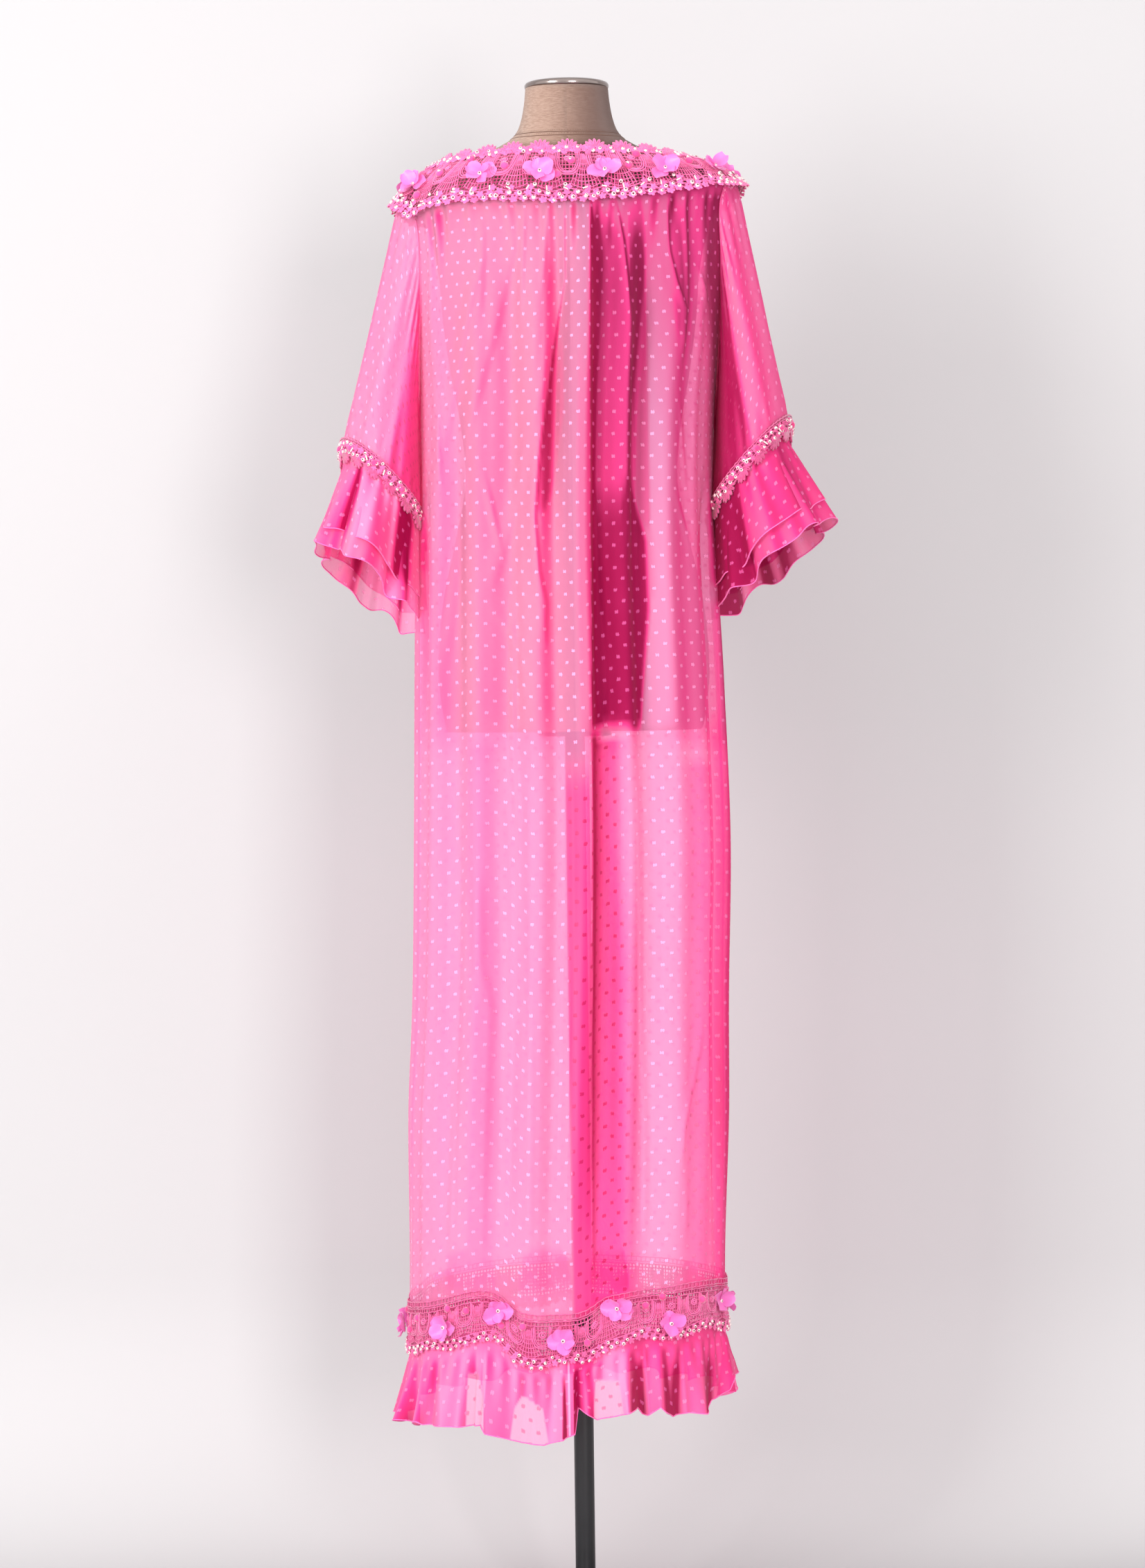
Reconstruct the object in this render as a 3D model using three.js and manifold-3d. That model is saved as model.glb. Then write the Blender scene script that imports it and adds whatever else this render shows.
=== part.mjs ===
// A sheer maxi dress with a lace yoke, bell sleeves and a ruffled hem, worn by a limbless dress form on a pole.
// Millimetres, +Z up. The floor is z = 0 and the pole's axis is x = 0, y = 0. The back of the dress faces -Y.
// Every cloth piece is a thin wall made from a mid surface, moved out and in by half its thickness.

import * as THREE from "three";
import { mergeVertices } from "three/addons/utils/BufferGeometryUtils.js";
import Module from "manifold-3d";

// Driving sizes of the cloth
const CHIFFON = 1.2; // wall of the chiffon panels
const LACE = 2.0; // wall of the guipure lace
const SEAM = 0.5; // air between two pieces that are sewn together

// Stand
const BASE_RADIUS = 165;
const BASE_THICKNESS = 9;
const COLLAR_RADIUS = 24;
const COLLAR_TOP = 42;
const POLE_RADIUS = 11.5;
const FLANGE_RADIUS = 42;
const FLANGE_THICKNESS = 6;
const REST_GAP = 0.3; // air between hard pieces that rest on each other

// Dress form: half width and the depths behind and in front of the pole's axis, from hip to neck
const FORM_POWER = 0.9;
const FORM = [
  { z: 1024, half: 146, back: 103, front: 103 },
  { z: 1030, half: 149, back: 107, front: 106 },
  { z: 1090, half: 156, back: 111, front: 106 },
  { z: 1170, half: 150, back: 106, front: 98 },
  { z: 1250, half: 133, back: 91, front: 90 },
  { z: 1310, half: 122, back: 82, front: 88 },
  { z: 1370, half: 126, back: 84, front: 98 },
  { z: 1440, half: 138, back: 91, front: 116 },
  { z: 1500, half: 146, back: 94, front: 125 },
  { z: 1550, half: 150, back: 92, front: 114 },
  { z: 1600, half: 161, back: 85, front: 92 },
  { z: 1630, half: 174, back: 77, front: 77 },
  { z: 1645, half: 179, back: 70, front: 69 },
  { z: 1666, half: 160, back: 57, front: 57 },
  { z: 1681, half: 118, back: 51, front: 53 },
  { z: 1689, half: 92, back: 50, front: 53 },
  { z: 1698, half: 72, back: 50, front: 54 },
  { z: 1708, half: 60, back: 49, front: 55 },
  { z: 1724, half: 53, back: 46, front: 55 },
  { z: 1745, half: 49, back: 43, front: 54 },
  { z: 1761, half: 47.5, back: 42, front: 53 },
];
const FORM_COLUMNS = 24;
const CAP_RADIUS = 48.5;
const CAP_TOP = 1769;
const CAP_Y = 5.5;

// Dress body: half width and depths of the section at each height, before folds
const OVAL_POWER = 0.83; // 1 is an ellipse, less is squarer
const BODY = [
  { z: 200, half: 182, back: 131, front: 135, shift: -16 },
  { z: 400, half: 181, back: 128, front: 133, shift: -16 },
  { z: 585, half: 180, back: 127, front: 132, shift: -11 },
  { z: 720, half: 177, back: 126, front: 132, shift: -7 },
  { z: 900, half: 177, back: 125, front: 132, shift: -3 },
  { z: 1080, half: 173, back: 124, front: 132, shift: -4 },
  { z: 1250, half: 168, back: 121, front: 135, shift: -6 },
  { z: 1390, half: 169, back: 119, front: 138, shift: -4 },
  { z: 1480, half: 175, back: 116, front: 139, shift: -1 },
  { z: 1540, half: 181, back: 112, front: 133, shift: 0 },
  { z: 1600, half: 190, back: 106, front: 122, shift: 0 },
  { z: 1660, half: 206, back: 97, front: 106, shift: 0 },
];
const GIRTH = 950; // length of the section's outline, which fold positions are measured along

// Long folds of the body. "at" is the place along the outline from the centre back, in mm, to the right when
// positive, at the fold's top and foot. Depth is positive for a ridge and negative for a trough.
const BACK_FOLDS = [
  { atTop: -214, atFoot: -222, width: 26, depth: 7, top: 1600, foot: 330 },
  { atTop: -190, atFoot: -188, width: 16, depth: -9, top: 1640, foot: 900 },
  { atTop: -168, atFoot: -172, width: 26, depth: 6, top: 1600, foot: 330 },
  { atTop: -136, atFoot: -140, width: 22, depth: -6, top: 1420, foot: 330 },
  { atTop: -102, atFoot: -108, width: 30, depth: 6, top: 1600, foot: 330 },
  { atTop: -66, atFoot: -74, width: 20, depth: -5, top: 1640, foot: 330 },
  { atTop: -34, atFoot: -44, width: 24, depth: 10, top: 1610, foot: 300 },
  { atTop: -10, atFoot: -18, width: 14, depth: -13, top: 1640, foot: 1120 },
  { atTop: 14, atFoot: 4, width: 20, depth: 12, top: 1640, foot: 300 },
  { atTop: 38, atFoot: 34, width: 18, depth: -14, top: 1640, foot: 330 },
  { atTop: 62, atFoot: 58, width: 16, depth: 8, top: 1640, foot: 330 },
  { atTop: 84, atFoot: 82, width: 18, depth: -9, top: 1640, foot: 500 },
  { atTop: 116, atFoot: 118, width: 26, depth: 9, top: 1640, foot: 330 },
  { atTop: 150, atFoot: 150, width: 20, depth: 6, top: 1640, foot: 330 },
  { atTop: 184, atFoot: 186, width: 15, depth: -12, top: 1560, foot: 330 },
  { atTop: 212, atFoot: 212, width: 22, depth: 5, top: 1340, foot: 330 },
];
const FRONT_FOLDS = [
  { atTop: -212, atFoot: -214, width: 26, depth: 6, top: 1340, foot: 330 },
  { atTop: -176, atFoot: -184, width: 20, depth: -9, top: 1600, foot: 330 },
  { atTop: -140, atFoot: -150, width: 26, depth: 8, top: 1590, foot: 330 },
  { atTop: -98, atFoot: -112, width: 24, depth: -8, top: 1590, foot: 330 },
  { atTop: -58, atFoot: -70, width: 26, depth: 8, top: 1590, foot: 330 },
  { atTop: -20, atFoot: -28, width: 20, depth: -10, top: 1590, foot: 330 },
  { atTop: 16, atFoot: 12, width: 24, depth: 9, top: 1590, foot: 330 },
  { atTop: 56, atFoot: 56, width: 22, depth: -9, top: 1590, foot: 330 },
  { atTop: 98, atFoot: 104, width: 28, depth: 8, top: 1590, foot: 330 },
  { atTop: 142, atFoot: 152, width: 22, depth: -8, top: 1600, foot: 330 },
  { atTop: 180, atFoot: 192, width: 26, depth: 7, top: 1600, foot: 330 },
];
const HEM_SOFTNESS = 0.25; // share of a fold's depth that is left at the lace hem band
const GATHER_LENGTH = 70; // how far the small gathers under the yoke run down
const GATHERS = 46; // number of small gathers round the yoke
const GATHER_DEPTH = 1.6;

// Lace yoke: neckline and lower edge
const NECK = { half: 150, back: 62, front: 72, side: 1675, backRise: 12, frontDrop: 20 };
const YOKE_FOOT = { half: 201, back: 98, front: 108 };
const YOKE_FOOT_HEIGHT = [
  { degrees: -180, z: 1592 },
  { degrees: -120, z: 1616 },
  { degrees: -90, z: 1631 },
  { degrees: -72, z: 1622 },
  { degrees: -60, z: 1613 },
  { degrees: -46, z: 1623 },
  { degrees: -20, z: 1627 },
  { degrees: 0, z: 1625 },
  { degrees: 30, z: 1634 },
  { degrees: 52, z: 1643 },
  { degrees: 75, z: 1645 },
  { degrees: 90, z: 1648 },
  { degrees: 120, z: 1628 },
  { degrees: 180, z: 1592 },
];
const YOKE_BULGE = 6;
const NECK_FANS = 26;
const NECK_FAN_HEIGHT = 0.13; // share of the yoke's width
const YOKE_SCALLOPS = 26;
const YOKE_SCALLOP_HEIGHT = 0.05;
const YOKE_COLUMNS = 78; // three for each fan
const TUCK = 0.86; // how far down the yoke the chiffon below it starts

// Armholes: where the body's side edges run, along the outline, from yoke to underarm
const SIDE = 0.25; // the side seam, as a share of the way round
const ARMHOLE_TOP_SHARE = 0.062; // how far the armhole's upper ends lie from the side seam
const UNDERARM = 1392;
const ARM_LEVELS = [0, 0.07, 0.18, 0.38, 0.66, 1]; // body rows between the yoke and the underarm
const SKIRT_LEVELS = [0.16, 0.4, 0.65, 0.87, 1]; // body rows between the underarm and the hem band

// Sleeves, measured outward from the pole's axis on each side
const SLEEVES = [
  { name: "left", side: -1, outerX: 263, innerX: 183, outerZ: 1351, innerZ: 1262, nearLift: 24, flare: 32 },
  { name: "right", side: 1, outerX: 251, innerX: 173, outerZ: 1374, innerZ: 1272, nearLift: 18, flare: 46 },
];
const SLEEVE_HALF_DEPTH = 80;
const SLEEVE_Y = 3;
const CAP_SHARE = 0.13; // share of the sleeve's ring that lies along the yoke, on each side of the shoulder
const SLEEVE_COLUMNS = 26;
const SLEEVE_FOLD_COUNT = 8;
const SLEEVE_FOLD_DEPTH = 3.5;

// Sleeve trim and ruffles, measured down from the seam
const TRIM_ABOVE = 6;
const TRIM_BELOW = 16;
const TRIM_FAN = 9;
const TRIM_FANS = 16;
const RUFFLE_LENGTHS = { upper: 96, lower: 118 };
const RUFFLE_WAVES = 9;
const RUFFLE_WAVE_DEPTH = 12;
const RUFFLE_SPREAD = 20;
const RUFFLE_COLUMNS = 48; // a whole number for each fan of the trim
const LAYER_STEP = 3.4; // from one ruffle layer's mid surface to the next

// Lace hem band and hem ruffle
const HEM_TOP = [
  { degrees: -180, z: 400 },
  { degrees: -130, z: 388 },
  { degrees: -90, z: 370 },
  { degrees: -60, z: 376 },
  { degrees: -45, z: 384 },
  { degrees: -30, z: 394 },
  { degrees: -22, z: 391 },
  { degrees: -12, z: 370 },
  { degrees: 2, z: 370 },
  { degrees: 12, z: 388 },
  { degrees: 32, z: 395 },
  { degrees: 54, z: 398 },
  { degrees: 90, z: 392 },
  { degrees: 130, z: 395 },
  { degrees: 180, z: 400 },
];
const HEM_BAND_WIDTH = 53;
const HEM_SCALLOPS = 12;
const HEM_SCALLOP_HEIGHT = 7;
const HEM_TUCK = 8;
const HEM_RUFFLE_START = 46; // below the band's top
const HEM_RUFFLE_END = 138;
const HEM_WAVES = 22;
const HEM_WAVE_DEPTH = 12;
const HEM_FLARE = 9;
const HEM_LEAN = 5; // more flare on the left and less on the right
const HEM_FREE = 64; // below the band's top, where the ruffle hangs free
const BACK_COLUMNS = 45; // the hem band and ruffle use the body's columns, so that they lie parallel
const FRONT_COLUMNS = 33;

// Fabric flowers
const FLOWER_RADIUS = 19;
const FLOWER_NOTCH = 8;
const FLOWER_PETALS = 4;
const FLOWER_CUP = 3.5;
const FLOWER_HEIGHT = 2.4; // of the petals over the lace
const BEAD_HEIGHT = 2;
const FLOWER_SINK = 4; // of its uncut underside below the lace wall's middle
const CORE_DEPTH = 9; // of the body that trims the flowers to the inside of the lace wall
const YOKE_FLOWERS = [
  { share: -0.199, low: 0.5 },
  { share: -0.098, low: 0.5 },
  { share: -0.031, low: 0.48 },
  { share: 0.041, low: 0.48 },
  { share: 0.109, low: 0.5 },
  { share: 0.184, low: 0.45 },
  { share: 0.285, low: 0.5 },
  { share: 0.36, low: 0.52 },
  { share: 0.432, low: 0.46 },
  { share: 0.505, low: 0.54 },
  { share: 0.574, low: 0.48 },
  { share: 0.645, low: 0.5 },
  { share: 0.716, low: 0.5 },
];
const HEM_FLOWERS = [
  { share: -0.17, low: 0.62 },
  { share: -0.088, low: 0.27 },
  { share: -0.011, low: 0.66 },
  { share: 0.055, low: 0.3 },
  { share: 0.126, low: 0.6 },
  { share: 0.205, low: 0.28 },
  { share: 0.295, low: 0.62 },
  { share: 0.362, low: 0.3 },
  { share: 0.43, low: 0.64 },
  { share: 0.5, low: 0.3 },
  { share: 0.57, low: 0.62 },
  { share: 0.642, low: 0.3 },
  { share: 0.712, low: 0.6 },
];

const COLOURS = {
  chiffon: "#f26cb0",
  lace: "#ee5fa6",
  flower: "#ee86dc",
  canvas: "#a98773",
  chrome: "#b9b4b0",
  black: "#101012",
};

const TAU = Math.PI * 2;
const clamp = (x) => Math.min(1, Math.max(0, x));
const mix = (a, b, t) => a + (b - a) * t;
const smooth = (x) => clamp(x) ** 2 * (3 - 2 * clamp(x));
const signedPower = (x, power) => Math.sign(x) * Math.abs(x) ** power;
const fan = (share, count) => Math.abs(Math.sin(Math.PI * count * share));
const degreesOf = (radians) => (radians * 180) / Math.PI;

// One column of a table at a height or angle between its rows, on a smooth curve through them.
function lookUp(table, at, key, along) {
  const last = table.length - 1;
  let i = 0;
  while (i < last - 1 && at > table[i + 1][along]) i += 1;
  const span = table[i + 1][along] - table[i][along];
  const t = clamp((at - table[i][along]) / span);
  const slope = (k) => {
    const a = table[Math.max(0, k - 1)];
    const b = table[Math.min(last, k + 1)];
    return ((b[key] - a[key]) / (b[along] - a[along])) * span;
  };
  const [p, q, m, n] = [table[i][key], table[i + 1][key], slope(i), slope(i + 1)];
  return p + t * m + t * t * (3 * (q - p) - 2 * m - n) + t ** 3 * (2 * (p - q) + m + n);
}

// A rounded oval. Angle 0 is the centre back and a quarter turn is the right side.
function oval(angle, size, power) {
  const depth = Math.cos(angle) > 0 ? size.back : size.front;
  return [
    size.half * signedPower(Math.sin(angle), power),
    -depth * signedPower(Math.cos(angle), power),
  ];
}

// Angles that step evenly along the outline, so that a share of the way round gives an angle.
const EVEN_STEPS = 720;
const EVEN = [0];
for (let i = 1; i <= EVEN_STEPS; i += 1) {
  const size = { half: 176, back: 122, front: 130 };
  const [ax, ay] = oval(((i - 1) / EVEN_STEPS) * TAU, size, OVAL_POWER);
  const [bx, by] = oval((i / EVEN_STEPS) * TAU, size, OVAL_POWER);
  EVEN.push(EVEN[i - 1] + Math.hypot(bx - ax, by - ay));
}
function rawAngle(share) {
  const wanted = (share - Math.floor(share)) * EVEN[EVEN_STEPS];
  let i = 1;
  while (EVEN[i] < wanted) i += 1;
  const part = (wanted - EVEN[i - 1]) / (EVEN[i] - EVEN[i - 1]);
  return (TAU * (i - 1 + part)) / EVEN_STEPS;
}
const QUARTER_SHARES = [0, 0.25, 0.5, 0.75, 1];
const QUARTER_SPLIT = (() => {
  const shareAt = (turn) => EVEN[EVEN_STEPS * turn] / EVEN[EVEN_STEPS];
  return QUARTER_SHARES.map(shareAt);
})();
// Shares are stretched a little so that 0.25 is exactly the side seam and 0.5 the centre front.
function angleOf(share) {
  const turn = share - Math.floor(share);
  const k = Math.min(3, Math.floor(turn * 4));
  return rawAngle(mix(QUARTER_SPLIT[k], QUARTER_SPLIT[k + 1], turn * 4 - k) + 1e-9);
}
// The angle in degrees from -180 to 180, for the height tables.
const signedDegrees = (angle) => degreesOf(Math.atan2(Math.sin(angle), Math.cos(angle)));

// The yoke's mid surface. Across is 0 at the neckline and 1 at the lower edge.
function yokePoint(share, across) {
  const angle = angleOf(share);
  const c = Math.cos(angle);
  const [nx, ny] = oval(angle, NECK, OVAL_POWER);
  const [fx, fy] = oval(angle, YOKE_FOOT, OVAL_POWER);
  const neckZ = NECK.side + (c > 0 ? NECK.backRise : -NECK.frontDrop) * c * c;
  const footZ = lookUp(YOKE_FOOT_HEIGHT, signedDegrees(angle), "z", "degrees");
  const bulge = YOKE_BULGE * Math.sin(Math.PI * clamp(across));
  const out = new THREE.Vector3(fx - nx, fy - ny, 0).normalize();
  return new THREE.Vector3(mix(nx, fx, across), mix(ny, fy, across), mix(neckZ, footZ, across))
    .addScaledVector(out, bulge * 0.55)
    .add(new THREE.Vector3(0, 0, bulge * 0.8));
}
// The outward normal of a surface given as a function of share and a second coordinate that runs down.
function normalOf(surface, share, down, stepShare, stepDown) {
  const along = surface(share + stepShare, down).sub(surface(share - stepShare, down));
  const fall = surface(share, down + stepDown).sub(surface(share, down - stepDown));
  return fall.cross(along).normalize();
}
const yokeNormal = (share, across) => normalOf(yokePoint, share, across, 0.004, 0.04);
const underYoke = (share, depth) =>
  yokePoint(share, TUCK).addScaledVector(yokeNormal(share, TUCK), -depth);
const SLEEVE_UNDER_YOKE = LACE / 2 + SEAM + CHIFFON / 2;
const BODY_UNDER_YOKE = SLEEVE_UNDER_YOKE + CHIFFON + SEAM;

// How far the long folds move the cloth out at a place on the outline.
function foldsAt(share, z) {
  const back = share < SIDE || share > 1 - SIDE;
  const folds = back ? BACK_FOLDS : FRONT_FOLDS;
  const from = back ? (share > 0.5 ? share - 1 : share) : share - 0.5;
  const place = back ? from * GIRTH : -from * GIRTH;
  let sum = 0;
  for (const fold of folds) {
    const down = clamp((fold.top - z) / (fold.top - fold.foot));
    const reach = Math.abs(place - mix(fold.atTop, fold.atFoot, down)) / fold.width;
    const fade = smooth((fold.top - z) / 140) * mix(HEM_SOFTNESS, 1, smooth((z - fold.foot - 60) / 220));
    if (reach < 1) sum += fold.depth * fade * (0.5 + 0.5 * Math.cos(Math.PI * reach));
  }
  return sum;
}

// The body's mid surface at a share of the way round and a height.
function bodyPoint(share, z) {
  const turn = share - Math.floor(share);
  const angle = angleOf(turn);
  const size = {
    half: lookUp(BODY, z, "half", "z"),
    back: lookUp(BODY, z, "back", "z"),
    front: lookUp(BODY, z, "front", "z"),
  };
  const [x, y] = oval(angle, size, OVAL_POWER);
  const flat = new THREE.Vector3(x + lookUp(BODY, z, "shift", "z"), y, z);
  const out = new THREE.Vector3(x / size.half ** 2, y / size.back ** 2, 0).normalize();
  const hung = underYoke(turn, BODY_UNDER_YOKE);
  const [tx, ty] = oval(angle, {
    half: lookUp(BODY, hung.z, "half", "z"),
    back: lookUp(BODY, hung.z, "back", "z"),
    front: lookUp(BODY, hung.z, "front", "z"),
  }, OVAL_POWER);
  const near = 1 - smooth((hung.z - z) / 90);
  flat.x += (hung.x - tx) * near;
  flat.y += (hung.y - ty) * near;
  const below = hung.z - z;
  const gather = GATHER_DEPTH * Math.cos(TAU * GATHERS * turn) *
    smooth(below / 25) * (1 - smooth(below / GATHER_LENGTH));
  const fromSide = Math.abs(turn < 0.5 ? turn - SIDE : turn - 1 + SIDE);
  const inner = smooth((fromSide - ARMHOLE_TOP_SHARE) / 0.03);
  const room = mix(1, inner, smooth((z - UNDERARM + 190) / 140));
  return flat.addScaledVector(out, (foldsAt(turn, z) + gather) * room * smooth(below / 20));
}
const bodyNormal = (share, z) => normalOf((s, d) => bodyPoint(s, -d), share, -z, 0.004, 6);

// How far the body's edge lies from the side seam at a height: nothing below the underarm.
function armholeShare(z, topZ) {
  const up = clamp((z - UNDERARM) / (topZ - UNDERARM));
  return ARMHOLE_TOP_SHARE * (1 - (1 - up) ** 2);
}

const hemTop = (share) => lookUp(HEM_TOP, signedDegrees(angleOf(share)), "z", "degrees");

// A closed wall from a grid of mid-surface points: rows run down and columns run from back to right. It spans
// from one distance outside the surface to another inside it.
const wall = (grid, thickness, closed) => shell(grid, thickness / 2, -thickness / 2, closed);
function shell(grid, outside, inside, closed) {
  const rows = grid.length;
  const columns = grid[0].length;
  const at = (i, j) => grid[i][closed ? (j + columns) % columns : Math.min(columns - 1, Math.max(0, j))];
  const outer = [];
  const inner = [];
  for (let i = 0; i < rows; i += 1) {
    for (let j = 0; j < columns; j += 1) {
      const along = at(i, j + 1).clone().sub(at(i, j - 1));
      const up = grid[Math.max(0, i - 1)][j];
      const down = grid[Math.min(rows - 1, i + 1)][j];
      const normal = down.clone().sub(up).cross(along).normalize();
      outer.push(grid[i][j].clone().addScaledVector(normal, outside));
      inner.push(grid[i][j].clone().addScaledVector(normal, inside));
    }
  }
  const count = outer.length;
  const faces = [];
  const quad = (a, b, c, d) => faces.push(a, b, c, a, c, d);
  const id = (i, j) => i * columns + (closed ? j % columns : j);
  const last = closed ? columns : columns - 1;
  for (let j = 0; j < last; j += 1) {
    for (let i = 0; i < rows - 1; i += 1) {
      quad(id(i, j), id(i + 1, j), id(i + 1, j + 1), id(i, j + 1));
      quad(count + id(i, j), count + id(i, j + 1), count + id(i + 1, j + 1), count + id(i + 1, j));
    }
    quad(id(0, j), id(0, j + 1), count + id(0, j + 1), count + id(0, j));
    const foot = rows - 1;
    quad(id(foot, j), count + id(foot, j), count + id(foot, j + 1), id(foot, j + 1));
  }
  if (!closed) {
    const end = columns - 1;
    for (let i = 0; i < rows - 1; i += 1) {
      quad(id(i, 0), count + id(i, 0), count + id(i + 1, 0), id(i + 1, 0));
      quad(id(i, end), id(i + 1, end), count + id(i + 1, end), count + id(i, end));
    }
  }
  const positions = [...outer, ...inner].flatMap((p) => [p.x, p.y, p.z]);
  const geometry = new THREE.BufferGeometry();
  geometry.setAttribute("position", new THREE.Float32BufferAttribute(positions, 3));
  geometry.setIndex(faces);
  return geometry;
}
// A grid of points from a function of a column and a row, each from 0 to 1.
function gridOf(columns, rowShares, closed, point) {
  const steps = closed ? columns : columns - 1;
  return rowShares.map((row) =>
    Array.from({ length: columns }, (_, j) => point(j / steps, row)),
  );
}
const evenRows = (count) => Array.from({ length: count + 1 }, (_, i) => i / count);

const dress = new THREE.Group();
function add(name, geometry, colour, roughness = 0.7, metalness = 0) {
  geometry.computeVertexNormals();
  const material = new THREE.MeshStandardMaterial({ color: COLOURS[colour], roughness, metalness });
  const mesh = new THREE.Mesh(geometry, material);
  mesh.name = name;
  dress.add(mesh);
  return mesh;
}

// Stand: base plate with a collar, pole and the flange under the form
function lathe(profile, segments) {
  const points = profile.map(([r, z]) => new THREE.Vector2(r, z));
  return new THREE.LatheGeometry(points, segments).rotateX(Math.PI / 2);
}
const formBottom = FORM[0].z;
const poleTop = formBottom - REST_GAP - FLANGE_THICKNESS - REST_GAP;
add("stand_base", lathe([
  [0, 0],
  [BASE_RADIUS, 0],
  [BASE_RADIUS, BASE_THICKNESS - 3],
  [BASE_RADIUS - 4, BASE_THICKNESS],
  [COLLAR_RADIUS + 6, BASE_THICKNESS + 2],
  [COLLAR_RADIUS, COLLAR_TOP],
  [0, COLLAR_TOP],
], 30), "black", 0.5, 0.6);
add("stand_pole", lathe([
  [0, COLLAR_TOP + REST_GAP],
  [POLE_RADIUS, COLLAR_TOP + REST_GAP],
  [POLE_RADIUS, poleTop],
  [0, poleTop],
], 20), "black", 0.4, 0.6);
add("stand_flange", lathe([
  [0, poleTop + REST_GAP],
  [FLANGE_RADIUS, poleTop + REST_GAP],
  [FLANGE_RADIUS, poleTop + REST_GAP + FLANGE_THICKNESS],
  [0, poleTop + REST_GAP + FLANGE_THICKNESS],
], 24), "black", 0.4, 0.6);

// Dress form: one solid through its sections, closed flat at hip and neck
function formTorso() {
  const rings = FORM.map((size) =>
    Array.from({ length: FORM_COLUMNS }, (_, j) => {
      const [x, y] = oval((j / FORM_COLUMNS) * TAU, size, FORM_POWER);
      return new THREE.Vector3(x, y, size.z);
    }),
  );
  const points = rings.flat();
  const faces = [];
  const id = (i, j) => i * FORM_COLUMNS + (j % FORM_COLUMNS);
  const top = rings.length - 1;
  for (let j = 0; j < FORM_COLUMNS; j += 1) {
    for (let i = 0; i < top; i += 1) {
      faces.push(id(i, j), id(i, j + 1), id(i + 1, j + 1), id(i, j), id(i + 1, j + 1), id(i + 1, j));
    }
    faces.push(points.length, id(0, j + 1), id(0, j));
    faces.push(points.length + 1, id(top, j), id(top, j + 1));
  }
  points.push(new THREE.Vector3(0, 0, FORM[0].z), new THREE.Vector3(0, CAP_Y, FORM[top].z));
  const geometry = new THREE.BufferGeometry();
  geometry.setAttribute("position", new THREE.Float32BufferAttribute(points.flatMap((p) => [p.x, p.y, p.z]), 3));
  geometry.setIndex(faces);
  return geometry;
}
add("form_torso", formTorso(), "canvas", 0.9);
const neckTop = FORM[FORM.length - 1].z;
add("form_cap", lathe([
  [0, neckTop + REST_GAP],
  [CAP_RADIUS - 1, neckTop + REST_GAP],
  [CAP_RADIUS, neckTop + 3],
  [CAP_RADIUS - 1.5, CAP_TOP - 1.2],
  [CAP_RADIUS - 6, CAP_TOP],
  [0, CAP_TOP],
], 24).translate(0, CAP_Y, 0), "chrome", 0.15, 1);

// Body panels, cut away at the armholes. A row is a level between the yoke, the underarm and the hem band.
const EDGE_SHARE = SEAM / 2 / GIRTH;
const BODY_ROWS = [...ARM_LEVELS, ...SKIRT_LEVELS.map((level) => 1 + level)];
const placeOf = (middle, column) => middle + mix(-1, 1, column) * (SIDE - EDGE_SHARE);
const bodyTop = (share) => underYoke(share, BODY_UNDER_YOKE).z;
function bodyPanel(middle, columns) {
  return gridOf(columns, BODY_ROWS, false, (column, row) => {
    const reach = mix(-1, 1, column);
    const topZ = bodyTop(middle + reach * (SIDE - ARMHOLE_TOP_SHARE));
    const footZ = hemTop(placeOf(middle, column)) - HEM_TUCK;
    const z = row <= 1 ? mix(topZ, UNDERARM, row) : mix(UNDERARM, footZ, row - 1);
    return bodyPoint(middle + reach * (SIDE - EDGE_SHARE - armholeShare(z, topZ)), z);
  });
}
const BACK = 0;
const FRONT = 0.5;
const HALVES = [
  { name: "back", middle: BACK, columns: BACK_COLUMNS },
  { name: "front", middle: FRONT, columns: FRONT_COLUMNS },
];
for (const half of HALVES) {
  add("body_" + half.name, wall(bodyPanel(half.middle, half.columns), CHIFFON, false), "chiffon");
}

// Sleeves: a tube from the armhole's ring to the cuff's ring. Share 0 is the outside, 0.25 the near side at the
// back, 0.5 the underarm and 0.75 the front. The ring follows the straight steps of the body panel's own edge.
function armholeRing(sleeve, share) {
  const turn = share > 0.5 ? share - 1 : share;
  const away = Math.abs(turn);
  const toward = turn >= 0 ? -1 : 1;
  const round = (k) => sleeve.side * (SIDE + toward * k);
  if (away <= CAP_SHARE) {
    return underYoke(round((away / CAP_SHARE) * ARMHOLE_TOP_SHARE), SLEEVE_UNDER_YOKE);
  }
  const edge = round(ARMHOLE_TOP_SHARE);
  const topZ = bodyTop(edge);
  const level = (away - CAP_SHARE) / (0.5 - CAP_SHARE);
  let k = 0;
  while (k < ARM_LEVELS.length - 2 && level > ARM_LEVELS[k + 1]) k += 1;
  const onEdge = (step) => {
    const z = mix(topZ, UNDERARM, ARM_LEVELS[step]);
    const place = round(armholeShare(z, topZ) + EDGE_SHARE);
    const normal = step === 0 ? yokeNormal(edge, TUCK) : bodyNormal(place, z);
    return bodyPoint(place, z).addScaledVector(normal, CHIFFON + SEAM);
  };
  const between = (level - ARM_LEVELS[k]) / (ARM_LEVELS[k + 1] - ARM_LEVELS[k]);
  return onEdge(k).lerp(onEdge(k + 1), between);
}
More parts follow.
